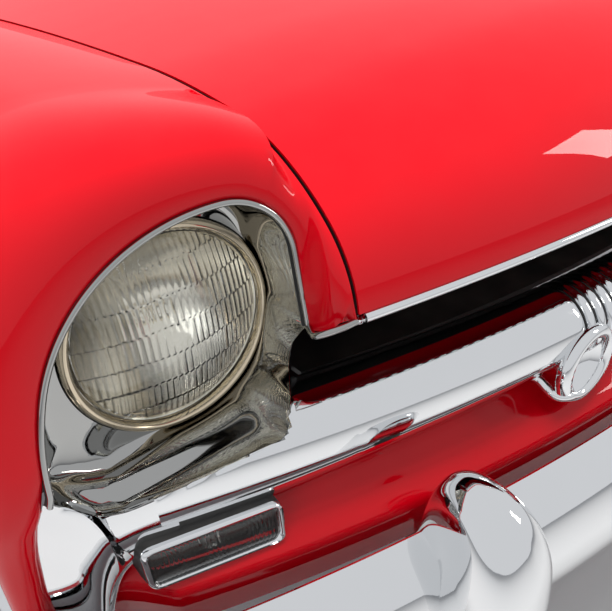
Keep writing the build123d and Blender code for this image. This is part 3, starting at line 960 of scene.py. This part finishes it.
def arc_y(radius, start_y, u):
    """y at u on a plan arc about the car's centre line, which starts at start_y."""
    return start_y + radius - sqrt(radius ** 2 - u * u)


def axis_y(u):
    """y of the grille bar's axis at u."""
    return arc_y(BAR_PLAN_R, BAR_Y, u)


def bar_front(u, z):
    """y of the grille bar's face at (u, z)."""
    return axis_y(u) - sqrt(max(BAR_R ** 2 - (z - BAR_Z) ** 2, 1))


def resample(points, count, closed=False):
    p = arr(points)
    if closed:
        p = np.vstack([p, p[:1]])
    d = np.r_[0, np.cumsum(np.linalg.norm(np.diff(p, axis=0), axis=1))]
    t = np.linspace(0, d[-1], count + 1 if closed else count)
    out = np.stack([np.interp(t, d, p[:, k]) for k in range(3)], axis=1)
    return out[:-1] if closed else out


def relax(points, times, closed=False):
    p = arr(points)
    for _ in range(times):
        q = (np.roll(p, 1, 0) + 2 * p + np.roll(p, -1, 0)) / 4
        if not closed:
            q[0], q[-1] = p[0], p[-1]
        p = q
    return p


def lip_points():
    """The surround's lower lip, from the outboard corner along the bar and up its inboard edge."""
    corner = [(766, -373.5, 262), (760, -373.5, 256), (750, -377, 247), (738, -385, 238)]
    along = [(u, bar_front(u, shelf_z(u)) - 1.5, shelf_z(u)) for u in (718, 700, 670, 640, 612, 590)]
    up = [(576, -414, 263), (569, -406, 275), (567, -404, 290), (566, -404, 305), (562, -405, 322),
          (552, -408, 332)]
    return corner + along + up


def surround_loop():
    arch = rim_arch(4)
    loop = np.vstack([arch, arr(lip_points())])
    return relax(resample(loop, SURROUND_POINTS, True), 3, True)


def build_surrounds():
    loop = surround_loop()
    rows = []
    for p0 in loop:
        radial = arr((p0[0] - LAMP[0], 0, p0[2] - LAMP[2]))
        reach = np.linalg.norm(radial)
        radial /= reach
        p3 = arr((LAMP[0], LAMP[1] - 2, LAMP[2])) + radial * (RING_R + 1.5)
        depth = p3[1] - p0[1]
        spare = reach - RING_R - 1.5
        p1 = p0 + arr((0, depth * SURROUND_STRAIGHT, 0))
        p2 = p3 + radial * max(spare * SURROUND_STRAIGHT, 0) + arr((0, min(spare, 0) * 0.4, 0))
        wall = bezier(p0, p1, p2, p3, SURROUND_ROWS)
        shelf = smooth((268 - p0[2]) / 14) * smooth((p0[0] - 575) / 30) * smooth((764 - p0[0]) / 30)
        for q in wall:
            place = min((q[1] - p0[1]) / max(depth * SURROUND_STRAIGHT, 1), 1)
            q[2] -= SHELF_WAVE * shelf * sin(2 * pi * place)
        lip = [p0 + arr((0, 3, 0)) + radial * 3, p0 + arr((0, 0.6, 0)) + radial * 1.6]
        rows.append(np.vstack([lip, wall, [p3 + arr((0, 8, 0))]]))
    rows.append(rows[0])
    bead = relax(resample(np.vstack([rim_arch(4), [(768, -373.5, 262)]]), 150), 2)
    bead[:, 1] -= 0.5
    tip = [tuple(bead[0]), (556, -427, 338), (562, -438, 345), (556, -446, 349), (543, -450, 350),
           (531, -451, 350.5)]
    strip = resample(relax(resample(tip, 40), 8), 40)
    for name, sign in SIDES:
        dish = make("surround_dish_" + name, [rows], sign, toward=(0, -1, 0), thickness=DISH_WALL)
        edge = make("surround_bead_" + name, [tube(bead, BEAD_R, 10, up=(0, 1, 0))], sign)
        under = make("tip_strip_" + name, [tube(strip, TIP_STRIP_R, 10)], sign)
        piece = joined("lamp_surround_" + name, [dish, edge, under])
        # The surround's dish takes the darkened chrome: painted shade.
        dress(piece, "front_body", "chrome", "chrome_painted_shade", "headlamp_bezel_" + name)
        gasket = make("rim_gasket_" + name, [tube(bead + arr((0, 4, 0)), GASKET_R, 8, up=(0, 1, 0))], sign)
        dress(gasket, "front_body", "black_paint", "rubber")


def dome(r):
    """How far the glass stands out at a distance from its centre."""
    big = (GLASS_R ** 2 + GLASS_DOME ** 2) / (2 * GLASS_DOME)
    return sqrt(max(big ** 2 - r * r, 0)) - (big - GLASS_DOME)


def lens_back(x, z):
    """Depth of the glass's fluted back face."""
    r = hypot(x, z)
    base = 4.0 - dome(r)
    if r > GLASS_R - 4:
        return min(base, 1.0)
    if r < 7:
        return base + 0.2
    place = (z + GLASS_R) / (2 * GLASS_R) * LENS_ROWS
    row = int(place)
    shift = 0.5 * (row % 2)
    bend = 0.10 * (row - 3) * (x / GLASS_R) ** 2
    flute = abs(sin(pi * (x / FLUTE_PITCH + shift + bend)))
    return base + 0.95 * flute + 1.0 * (place - row - 0.5)


def build_lamps():
    xs = GLASS_R * np.sin(np.linspace(-pi / 2, pi / 2, GLASS_COLUMNS))
    ts = np.linspace(-1, 1, GLASS_POINTS)
    front, back = [], []
    for x in xs:
        h = sqrt(max(GLASS_R ** 2 - x * x, 0))
        front.append([(LAMP[0] + x, LAMP[1] - dome(hypot(x, t * h)), LAMP[2] + t * h) for t in ts])
        back.append([(LAMP[0] + x, LAMP[1] + lens_back(x, t * h), LAMP[2] + t * h) for t in ts])
    front, back = arr(front), arr(back)
    rims = [[front[:, k], back[:, k]] for k in (0, -1)]
    ring = [(GLASS_R + 0.4, 1), (GLASS_R + 0.4, -5), (87.2, -8.2), (88.6, -9.6), (90.4, -9.8), (92.6, -8.4),
            (94.4, -5), (95, -1.5), (95, 1), (GLASS_R + 0.4, 1)]
    inner = [(r, 4 + (BOWL_DEPTH - 4) * (1 - (r / 84) ** 2)) for r in np.linspace(0.01, 84, 40)]
    bowl = inner + [(90, 3.2), (RING_R, 3.2), (RING_R, 1.5), (86, 1.5)]
    cap_curve = [(11 * sin(a), 38 - 12 * cos(a)) for a in np.linspace(0.2, 1.8, 12)]
    shield = [(0.01, 26)] + cap_curve + [(9, 44), (0.01, 44)]
    post = [(2.2, 40), (2.2, BOWL_DEPTH - 1)]
    for name, sign in SIDES:
        glass_piece = make("lamp_glass_" + name, [front, back] + rims, sign)
        dress(glass_piece, "front_body", "lamp_glass", "lamp_glass", "headlamp_lens_" + name)
        dress(make("lamp_ring_" + name, [turned(ring)], sign), "front_body", "ring_metal", "ring_metal",
              "headlamp_ring_" + name)
        bowl_piece = make("lamp_bowl_" + name, [turned(bowl)], sign, toward=(0, -1, 0))
        cap = make("lamp_shield_" + name, [turned(shield, segments=32), turned(post, segments=12)], sign)
        dress(joined("lamp_reflector_" + name, [bowl_piece, cap]), "front_body", "reflector", "reflector",
              "headlamp_reflector_" + name)


# Pieces swept along a plan path: stations are (u, y, heading), the profile is (offset outwards, height)

def swept(stations, profiles):
    rows = []
    for (x, y, heading), profile in zip(stations, profiles):
        h = radians(heading)
        rows.append([(x + sin(h) * n, y - cos(h) * n, z) for n, z in profile])
    return rows


def plan_arc(radius, start_y, u0, u1, count):
    """Stations along the plan arc about the car's centre line."""
    out = []
    for u in np.linspace(u0, u1, count):
        out.append((u, arc_y(radius, start_y, u), degrees(asin(u / radius))))
    return out


# Grille bars

def bar_drop(u):
    """How far the bar's lower half reaches below its axis at u."""
    return float(np.interp(u, [row[0] for row in BAR_DROPS], [row[1] for row in BAR_DROPS]))


def shelf_z(u):
    """Height of the surround's lip at u, where the bar goes in under it."""
    if u < 738:
        return 252 - (u - 585) / 6
    return float(np.interp(u, (738, 750, 760, 766), (238, 247, 256, 262)))


def bar_profile(u):
    """(offset outwards, height) round the bar at u, lower towards the leg and cut off under the shelf."""
    ease = 1 - 0.16 * (1 - sqrt(max(0, 1 - (1 - min((u - BAR_END_U) / 9, 1)) ** 2)))
    ease *= 1 - 0.035 * max(0, 1 - abs(u - SLEEVE_U) / 2.2)
    out = []
    for a in np.linspace(165, -165, 60):
        n, z = BAR_R * ease * cos(radians(a)), ease * sin(radians(a))
        z = BAR_Z + z * (BAR_R if a > 0 else bar_drop(u))
        under = shelf_z(u) - 1 - 11 * smooth((37 - n) / 9)
        out.append((n, min(z, lerp(BAR_Z + BAR_R, under, smooth((u - 566) / 18)))))
    return out


def leg_outer(s):
    """Outer end of the leg's row, with the way that the surface leaves there."""
    if s < LEG_UNDER:
        u = lerp(LEG_START_U, LEG_U, s / LEG_UNDER)
        z = shelf_z(u) + 1
        return arr((u, bar_front(u, z), z)), arr((0, 0.1, 1))
    if s < LEG_CORNER:
        t = (s - LEG_UNDER) / (LEG_CORNER - LEG_UNDER)
        z = shelf_z(LEG_U) + 1
        low = arr((LEG_U, bar_front(LEG_U, z), z))
        way = arr((0.75 * t, 0.1 + 0.56 * t, 1 - t))
        return lerp(low, arr(CORNER_TOP), t), way / np.linalg.norm(way)
    z = lerp(CORNER_TOP[2], LEG_FOOT_Z, (s - LEG_CORNER) / (1 - LEG_CORNER))
    u, y = edge_at(z)
    return arr((u + 1, y + 3, z)), arr((0.75, 0.66, 0))


def leg_rows():
    """Curves that fan out round the fillet from the bar's end to the foot, from inner to outer edge."""
    rows, edge = [], []
    inner = relax(resample([(u, 0, z) for u, z in LEG_EDGE], LEG_ROWS), 6)
    for i, (u, _, z) in enumerate(inner):
        s = i / (LEG_ROWS - 1)
        k = smooth(s * 2.4)
        flare = 15 * smooth((146 - z) / 46)
        p0 = arr((u, axis_y(u) - lerp(10.5, 18, k) - flare, z))
        p3, way = leg_outer(s)
        span = np.linalg.norm(p3 - p0)
        p1 = p0 + arr((4 * k, -lerp(23, 20, k), -2 * (1 - k)))
        p2 = p3 - way * lerp(0.5, 0.42, k) * span + arr((0, -0.6 * flare, 0))
        rows.append(bezier(p0, p1, p2, p3, 36))
        edge.append(p0 + arr((0, -2 * k, 0)))
    return rows, edge


def build_bars():
    stations = plan_arc(BAR_PLAN_R, BAR_Y, BAR_END_U, LEG_START_U, BAR_STATIONS)
    grid = swept(stations, [bar_profile(u) for u, _, _ in stations])
    middle = (BAR_END_U + 1, BAR_Y + 17, BAR_Z)
    cap = [[tuple(lerp(a, b, 0.15) for a, b in zip(middle, q)) for q in grid[0]], grid[0]]
    leg, inner = leg_rows()
    low_row = [row[BEAD_PLACE] for row in grid]
    edge = relax(resample(arr(low_row[14:] + inner[1:]), EDGE_POINTS), 3)
    turn = []
    for a in np.linspace(-0.9, -2 * pi - 0.4, 50):
        turn.append((HOOK_U + HOOK_R * cos(a), HOOK_Y - 4, HOOK_Z + HOOK_R * sin(a)))
    first, last = arr(edge[0]), arr(turn[0])
    lead = bezier(first, first + arr((-30, -12, -1)), last + arr((34, 8, 6)), last, 16)
    bead = relax(resample(np.vstack([edge[::-1], lead[1:-1], turn]), BEAD_POINTS), 2)
    radii = [lerp(BEAD_THIN, BEAD_THICK, smooth((i - EDGE_POINTS) / 80)) for i in range(BEAD_POINTS)]
    dish_outline = ((0.01, 16), (8, 15.2), (16, 12.6), (24, 7.5), (30, 1.5), (33, -1))
    dish_rows = []
    for a in np.linspace(0, 2 * pi, 41):
        row = [(HOOK_U + r * cos(a), HOOK_Y - 5 + d, HOOK_Z + r * sin(a)) for r, d in dish_outline]
        dish_rows.append(row)
    for name, sign in SIDES:
        skin = make("bar_skin_" + name, [grid, cap], sign, toward=(0, -1, 0), thickness=BAR_WALL)
        foot = make("bar_leg_" + name, [leg], sign, toward=(0, -1, 0), thickness=BAR_WALL)
        roll = make("bar_bead_" + name, [tube(bead, radii, 12, up=(0, 0.3, 1))], sign)
        dish = make("bar_dish_" + name, [dish_rows], sign, toward=(0, -1, 0), thickness=DISH_WALL)
        piece = joined("grille_bar_dressed_" + name, [skin, foot, roll, dish])
        dress(piece, "front_body", "chrome", "chrome", "grille_bar_" + name)


# Ribbed centre of the grille

def build_barrel(sizes):
    half = sizes.barrel_ring_width / 2
    outline = [(-half, 34), (-half, 38), (-half + 1.2, 40.4), (-half * 0.4, 41.8), (0, 42),
               (half * 0.4, 41.8), (half - 1.2, 40.4), (half, 38), (half, 34)]
    rows = [[(x, r * cos(a), r * sin(a)) for x, r in outline] for a in np.linspace(0, 2 * pi, 65)]
    ring = make("ring", [rows])
    path = [(u, y, BAR_Z) for u, y, _ in plan_arc(BAR_PLAN_R, BAR_Y, -BAR_END_U + 8, BAR_END_U - 8, 80)]
    rings = copies("barrel_rings", path, sizes.barrel_rings, ring, "chrome")
    dress(rings, "front_body", "chrome", "chrome", "grille_centre")
    axis = [(u, y, BAR_Z) for u, y, _ in plan_arc(BAR_PLAN_R, BAR_Y, -BAR_END_U + 2, BAR_END_U - 2, 60)]
    core = make("barrel_core", [tube(axis, BARREL_CORE_R, 48)])
    dress(core, "front_body", "black_paint", "black_paint")


# Valance and turn signals

def build_valance():
    outline = [(44, 200), (42, 192), (36, 187.5), (-40, 134.5), (-46.5, 128), (-48, 120), (-46, 104),
               (-42, 86), (-36, 66), (-30, 60)]
    path = resample([(n, z, 0) for n, z in outline], 60)
    grids = []
    near, far = SIGNAL_U - SIGNAL_HALF + OPENING_ENDS, SIGNAL_U + SIGNAL_HALF - OPENING_ENDS
    low, high = SIGNAL_Z - SIGNAL_RISE + OPENING_BELOW, SIGNAL_Z + SIGNAL_RISE - OPENING_ABOVE
    strips = ((-VALANCE_HALF, -far, 12), (-far, -near, 24), (-near, near, 180), (near, far, 24),
              (far, VALANCE_HALF, 12))
    for u0, u1, count in strips:
        rows = []
        for u in np.linspace(u0, u1, count):
            back = VALANCE_TAPER * smooth((abs(u) - VALANCE_TAPER_U) / VALANCE_TAPER_LENGTH)
            row = []
            for n, z, _ in path:
                lift = 0.0
                if -40 < n < 36 and z > 132:
                    t = (n + 40) / 76
                    arch = 0.18 + 0.5 * sqrt(max(0, 1 - (u / VALANCE_ARCH_U) ** 2))
                    step = (t - arch) / 0.10 + 0.5 if abs(u) < VALANCE_ARCH_U else (t - 0.13) / 0.10
                    lift = VALANCE_RAISE * smooth(step)
                    lift *= smooth(t * 8) * smooth((1 - t) * 8)
                y = BAR_Y + BAR_PLAN_R - sqrt((BAR_PLAN_R - n - back) ** 2 - u * u)
                row.append((u, y, z + lift))
            rows.append(row)
        if count == 24:
            upper = [q for q in range(60) if path[q][1] > high]
            lower = [q for q in range(60) if path[q][1] < low]
            grids += [[[row[q] for q in part] for row in rows] for part in (upper, lower)]
        else:
            grids.append(rows)
    skin = make("valance_skin", grids, toward=(0, -0.7, 0.7), thickness=PANEL_WALL)
    dress(skin, "front_body", "body_red", "enamel", "valance")


def signal_loop(shrink, y):
    """Rounded rectangle of the turn signal's face, pulled in all round and set at y."""
    w, h, r = SIGNAL_HALF - shrink, SIGNAL_RISE - shrink, max(SIGNAL_CORNER - shrink, 1)
    points = []
    for i in range(SIGNAL_POINTS):
        a = 2 * pi * i / SIGNAL_POINTS
        cx = (w - r) * (1 if cos(a) >= 0 else -1)
        cz = (h - r) * (1 if sin(a) >= 0 else -1)
        x = cx + r * cos(a)
        points.append((SIGNAL_U + cx + r * cos(a), y + SIGNAL_SLOPE * x, SIGNAL_Z + cz + r * sin(a)))
    return resample(points, SIGNAL_POINTS, True)


def signal_rows(steps):
    """Closed loops of the turn signal, one for each (inset, depth)."""
    rows = []
    for inset, depth in steps:
        loop = signal_loop(inset, SIGNAL_FACE_Y + depth)
        rows.append(np.vstack([loop, loop[:1]]))
    return rows


def build_signals():
    shell = signal_rows(((5.4, 6), (4.8, 1), (3.8, -1.0), (2.4, -1.5), (1.0, -0.7), (0.2, 1.0), (0, 3),
                         (0.5, 8)))
    shade_sleeve = signal_rows(((0.6, 2.5), (-0.4, 6), (-1, 14), (-1.5, 60)))
    cup = signal_rows(((5, 5.5), (6, 22), (12, 27), (23.5, 27.5)))
    columns = int(2 * (SIGNAL_HALF - 6) / SIGNAL_RIB_PITCH * 6)
    front, back = [], []
    for i in range(columns + 1):
        x = lerp(-(SIGNAL_HALF - SIGNAL_MARGIN), SIGNAL_HALF - SIGNAL_MARGIN, i / columns)
        over = max(0, abs(x) - (SIGNAL_HALF - SIGNAL_CORNER))
        height = SIGNAL_RISE - SIGNAL_MARGIN - (over ** 2) / 12
        f, b = [], []
        for t in np.linspace(-1, 1, 15):
            crown = 3.5 * (1 - t ** 4) * (1 - (abs(x) / SIGNAL_HALF) ** 6)
            rib = 0.7 * abs(sin(pi * x / SIGNAL_RIB_PITCH))
            z = SIGNAL_Z + t * height
            f.append((SIGNAL_U + x, SIGNAL_FACE_Y + 4 + SIGNAL_SLOPE * x - crown - rib, z))
            b.append((SIGNAL_U + x, SIGNAL_FACE_Y + 6.5 + SIGNAL_SLOPE * x, z))
        front.append(f)
        back.append(b)
    bulb = [(0.01, 8), (6, 9.5), (8.5, 15), (6, 21), (5, 30)]
    for name, sign in SIDES:
        body = make("signal_shell_" + name, [shell], sign, toward=(0, -1, 0))
        shaded_cup = make("signal_cup_" + name, [cup], sign, toward=(0, -1, 0))
        dress(body, "front_body", "chrome", "chrome", "turn_signal_housing_" + name)
        # The cup takes the dark core_metal finish as painted shade, so the glass in front of it looks dark.
        dress(shaded_cup, "front_body", "core_metal", "core_metal")
        # A black sleeve behind the shell: painted shade in the gap round the signal.
        dress(make("signal_pod_" + name, [shade_sleeve], sign), "front_body", "black_paint", "black_paint")
        lens = make("signal_lens_" + name, [front, back] + sheet_rims(front, back), sign)
        dress(lens, "front_body", "signal_glass", "signal_glass", "turn_signal_lens_" + name)
        lamp = make("signal_bulb_" + name, [turned(bulb, (SIGNAL_U, SIGNAL_FACE_Y, SIGNAL_Z), 32)], sign)
        dress(lamp, "front_body", "signal_glass", "signal_glass")


# Bumper and guards

def build_bumper():
    turn = degrees(asin(BUMPER_TURN_U / BUMPER_PLAN_R))
    front = plan_arc(BUMPER_PLAN_R, BUMPER_Y, 0, BUMPER_TURN_U, 70)
    x, y, h = front[-1]
    corner = chain((x, y), turn, ((BUMPER_TURN_R, BUMPER_HEADING - turn),), 5)[1:]
    x, y, h = corner[-1]
    steps = int((BUMPER_END_Y - y) / 8)
    run = []
    for i in range(1, steps + 1):
        d = (BUMPER_END_Y - y) / sin(radians(h)) * i / steps
        run.append((x + cos(radians(h)) * d, y + sin(radians(h)) * d, h))
    right = front + corner + run
    stations = [(-x, y, -h) for x, y, h in right[:0:-1]] + right
    half = BUMPER_HEIGHT / 2
    radius = (half ** 2 + BUMPER_BULGE ** 2) / (2 * BUMPER_BULGE)
    a = asin(half / radius)
    middle = BUMPER_TOP_Z - half
    profile = []
    for b in np.linspace(a * 0.96, -a * 0.96, 44):
        profile.append((radius * cos(b) - radius + BUMPER_BULGE, middle + radius * sin(b)))
    top, bottom = profile[0], profile[-1]
    profile = [(top[0] - 7, top[1] - 5), (top[0] - 5, top[1] + 0.4), (top[0] - 2.4, top[1] + 1.6)] + profile
    profile += [(bottom[0] - 2.4, bottom[1] - 1.6), (bottom[0] - 5, bottom[1] - 0.4),
                (bottom[0] - 7, bottom[1] + 5)]
    grid = swept(stations, [profile] * len(stations))
    skin = make("bumper_skin", [grid], toward=(0, -1, 0), thickness=BUMPER_WALL)
    dress(skin, "front_body", "chrome", "chrome", "bumper_bar")


def build_guards():
    crest = relax(resample(GUARD_CREST, GUARD_ROWS), 14)
    foot = relax(resample([(y, z, 0) for y, z in GUARD_FOOT], GUARD_ROWS), 14)
    rows = []
    for (y, z, wide), (fy, fz, _) in zip(crest, foot):
        half = bezier(arr((0, 0)), arr((wide * 0.55, 0.02)), arr((wide, 0.12)), arr((wide, 0.62)), 18)
        half = np.vstack([half, [(wide * 0.985, 1.08)]])
        row = [(-v, d) for v, d in half[:0:-1]] + [(v, d) for v, d in half]
        rows.append([(GUARD_U + v, lerp(y, fy, d), lerp(z, fz, d)) for v, d in row])
    for name, sign in SIDES:
        guard = make("guard_skin_" + name, [rows], sign, toward=(0, -1, 0.2), thickness=GUARD_WALL)
        dress(guard, "front_body", "chrome", "chrome", "bumper_guard_" + name)


# Radiator and fasteners

def build_core(sizes):
    outline = ((-1, 122), (-1, 428), (10, 428), (10, 122), (-1, 122))
    sheet = [[(0.25 * s, y, z) for y, z in outline] for s in (-1, 1)]
    fin = make("fin", [sheet])
    path = [(x, -2, 0) for x in np.linspace(-330, 330, 12)]
    fins = copies("core_fins", path, sizes.radiator_fins, fin, "core_metal")
    dress(fins, "front_body", "core_metal", "core_metal")


def build_screws():
    rows = [[(r * cos(a), r * sin(a), h) for a in np.linspace(0, 2 * pi, 7)]
            for r, h in ((0.01, 5), (6.4, 5), (7.4, 4), (7.4, 0), (10, 0), (10, -1.5), (0.01, -1.5))]
    head = make("screw_head", [rows], toward=(0, 0, 1))
    path = [(x, -300, 446) for x in np.linspace(-470, 470, 10)]
    row = copies("upper_screws", path, PANEL_SCREWS, head, "screw_steel")
    dress(row, "front_body", "chassis_steel", "screw_steel")


# Nodes shown as they are

NODE_FINISHES = (
    ("black_paint", ("air_duct", "inner_fender_left", "inner_fender_right", "radiator_support", "upper_panel",
                     "headlamp_bucket_left", "headlamp_bucket_right")),
    ("chassis", ("bumper_iron_left", "bumper_iron_right", "front_subframe", "hinge_arm_left",
                 "hinge_arm_right", "hinge_bracket_left", "hinge_bracket_right")),
    ("core_metal", ("radiator",)),
)


def paint_nodes():
    for finish, names in NODE_FINISHES:
        for name in names:
            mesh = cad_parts[name].data
            if not mesh.materials:
                mesh.materials.append(finishes()[finish])
            for i in range(len(mesh.materials)):
                mesh.materials[i] = finishes()[finish]


# Stage: floor, lights and camera

def camera_axes():
    a, e, r = (radians(v) for v in CAMERA_AIM)
    back = Vector((sin(a) * cos(e), -cos(a) * cos(e), sin(e)))
    right = (-back).cross(Vector((0, 0, 1))).normalized()
    up = right.cross(-back)
    return cos(r) * right - sin(r) * up, sin(r) * right + cos(r) * up, back


def area(name, place, aim, size, power, colour):
    light = bpy.data.lights.new(name, "AREA")
    light.shape = "RECTANGLE"
    light.size, light.size_y = size
    light.energy = power
    light.color = colour
    obj = bpy.data.objects.new(name, light)
    bpy.context.collection.objects.link(obj)
    obj.location = place
    obj.rotation_euler = (Vector(aim) - Vector(place)).to_track_quat("-Z", "Y").to_euler()
    return obj


def pale_floor():
    mat = bpy.data.materials.new("stage_floor")
    mat.use_nodes = True
    shader = mat.node_tree.nodes["Principled BSDF"]
    shader.inputs["Base Color"].default_value = rgba((0.80, 0.80, 0.80))
    shader.inputs["Roughness"].default_value = 0.9
    shader.inputs["Specular IOR Level"].default_value = 0.1
    edge = FLOOR_HALF * MM
    corners = [(-edge, -edge), (edge, -edge), (edge, edge), (-edge, edge)]
    floor = from_faces("floor", [(x, y, FLOOR_Z * MM) for x, y in corners], [(0, 1, 2, 3)], toward=(0, 0, 1))
    floor.data.materials.append(mat)


def pale_world(strength):
    """Pale surroundings for the camera, metal and glass, and a plain soft light for the rest."""
    world = bpy.data.worlds.new("studio")
    world.use_nodes = True
    bpy.context.scene.world = world
    nodes, links = world.node_tree.nodes, world.node_tree.links
    path = nodes.new("ShaderNodeLightPath")
    seen = nodes.new("ShaderNodeMix")
    seen.data_type = "RGBA"
    seen.inputs["A"].default_value = rgba(SOFT_LIGHT)
    seen.inputs["B"].default_value = rgba(SURROUNDINGS)
    either = None
    for ray in ("Is Camera Ray", "Is Glossy Ray", "Is Transmission Ray"):
        if either is None:
            either = path.outputs[ray]
            continue
        most = nodes.new("ShaderNodeMath")
        most.operation = "MAXIMUM"
        links.new(either, most.inputs[0])
        links.new(path.outputs[ray], most.inputs[1])
        either = most.outputs[0]
    links.new(either, seen.inputs["Factor"])
    links.new(seen.outputs["Result"], nodes["Background"].inputs["Color"])
    nodes["Background"].inputs["Strength"].default_value = strength


def build_stage(stage):
    pale_floor()
    pale_world(stage.world_strength)
    powers = {"overhead": stage.overhead_power, "left_key": stage.key_power, "right_fill": stage.fill_power}
    for name, place, aim, size, colour, mirrored in LAMPS:
        lamp = area(name, place, aim, size, powers[name], colour)
        lamp.visible_glossy = mirrored
    view = bpy.data.cameras.new("camera")
    view.lens = CAMERA_FOCAL
    view.sensor_width = SENSOR_WIDTH
    view.clip_start = 0.02
    right, up, back = camera_axes()
    camera = bpy.data.objects.new("camera", view)
    bpy.context.collection.objects.link(camera)
    turn = Matrix((right, up, back)).transposed().to_4x4()
    camera.matrix_world = Matrix.Translation(CAMERA_PLACE) @ turn
    scene = bpy.context.scene
    scene.camera = camera
    scene.view_settings.view_transform = "Standard"


# Add-on: sizes, operators and panel

class FrontEndSizes(bpy.types.PropertyGroup):
    """Counts, and sizes in millimetres"""
    seam_gap: bpy.props.FloatProperty(
        name="Seam gap", description="Gap between hood and wing", default=4.0, min=3.0, max=8.0)
    lip_teeth: bpy.props.IntProperty(
        name="Lip teeth", description="Teeth under the hood's lip trim", default=69, min=10, max=120)
    barrel_rings: bpy.props.IntProperty(
        name="Barrel rings", description="Rings of the grille's ribbed centre", default=36, min=10, max=60)
    barrel_ring_width: bpy.props.FloatProperty(
        name="Ring width", description="Width of one ring", default=9.6, min=4.0, max=14.0)
    radiator_fins: bpy.props.IntProperty(
        name="Radiator fins", description="Fins across the radiator's core", default=170, min=20, max=400)


class FrontEndStage(bpy.types.PropertyGroup):
    overhead_power: bpy.props.FloatProperty(
        name="Overhead", description="Power of the overhead light", default=120.0, min=0.0, unit="POWER")
    key_power: bpy.props.FloatProperty(
        name="Key", description="Power of the key light", default=22.0, min=0.0, unit="POWER")
    fill_power: bpy.props.FloatProperty(
        name="Fill", description="Power of the fill light", default=8.0, min=0.0, unit="POWER")
    world_strength: bpy.props.FloatProperty(
        name="World", description="Strength of the studio's surroundings", default=1.0, min=0.0)


class FRONTEND_OT_hood(bpy.types.Operator):
    """Builds the hood's skin, frame, lip trim and ornament"""
    bl_idname = "front_end.hood"
    bl_label = "Hood"

    def execute(self, context):
        build_hood(context.scene.front_end_sizes)
        return {"FINISHED"}


class FRONTEND_OT_wings(bpy.types.Operator):
    """Builds both wings"""
    bl_idname = "front_end.wings"
    bl_label = "Wings"

    def execute(self, context):
        build_wings(context.scene.front_end_sizes)
        return {"FINISHED"}


class FRONTEND_OT_lamps(bpy.types.Operator):
    """Builds the headlamps with their surrounds"""
    bl_idname = "front_end.lamps"
    bl_label = "Headlamps"

    def execute(self, context):
        build_surrounds()
        build_lamps()
        return {"FINISHED"}


class FRONTEND_OT_grille(bpy.types.Operator):
    """Builds the grille bars and the ribbed centre"""
    bl_idname = "front_end.grille"
    bl_label = "Grille"

    def execute(self, context):
        build_bars()
        build_barrel(context.scene.front_end_sizes)
        return {"FINISHED"}


class FRONTEND_OT_lower(bpy.types.Operator):
    """Builds the valance, the turn signals, the bumper and its guards"""
    bl_idname = "front_end.lower"
    bl_label = "Valance and bumper"

    def execute(self, context):
        build_valance()
        build_signals()
        build_bumper()
        build_guards()
        return {"FINISHED"}


class FRONTEND_OT_inner(bpy.types.Operator):
    """Builds the radiator's fins and the screws, and paints the solids that show as they are"""
    bl_idname = "front_end.inner"
    bl_label = "Inner pieces"

    def execute(self, context):
        build_core(context.scene.front_end_sizes)
        build_screws()
        paint_nodes()
        return {"FINISHED"}


class FRONTEND_OT_stage(bpy.types.Operator):
    """Builds the floor, the lights and the camera"""
    bl_idname = "front_end.stage"
    bl_label = "Stage"

    def execute(self, context):
        build_stage(context.scene.front_end_stage)
        return {"FINISHED"}


class FRONTEND_PT_panel(bpy.types.Panel):
    bl_label = "Front end"
    bl_idname = "FRONTEND_PT_panel"
    bl_space_type = "VIEW_3D"
    bl_region_type = "UI"
    bl_category = "Front end"

    def draw(self, context):
        column = self.layout.column()
        for group_name in ("front_end_sizes", "front_end_stage"):
            values = getattr(context.scene, group_name)
            for label in values.bl_rna.properties.keys():
                if label not in ("rna_type", "name"):
                    column.prop(values, label)
        for cls in OPERATORS:
            column.operator(cls.bl_idname)


OPERATORS = (FRONTEND_OT_hood, FRONTEND_OT_wings, FRONTEND_OT_lamps, FRONTEND_OT_grille, FRONTEND_OT_lower,
             FRONTEND_OT_inner, FRONTEND_OT_stage)
CLASSES = (FrontEndSizes, FrontEndStage) + OPERATORS + (FRONTEND_PT_panel,)


def register():
    for cls in CLASSES:
        bpy.utils.register_class(cls)
    bpy.types.Scene.front_end_sizes = bpy.props.PointerProperty(type=FrontEndSizes)
    bpy.types.Scene.front_end_stage = bpy.props.PointerProperty(type=FrontEndStage)


def unregister():
    del bpy.types.Scene.front_end_stage
    del bpy.types.Scene.front_end_sizes
    for cls in reversed(CLASSES):
        bpy.utils.unregister_class(cls)


def main():
    register()
    for piece in ("hood", "wings", "lamps", "grille", "lower", "inner", "stage"):
        getattr(bpy.ops.front_end, piece)()


if __name__ == "__main__":
    main()
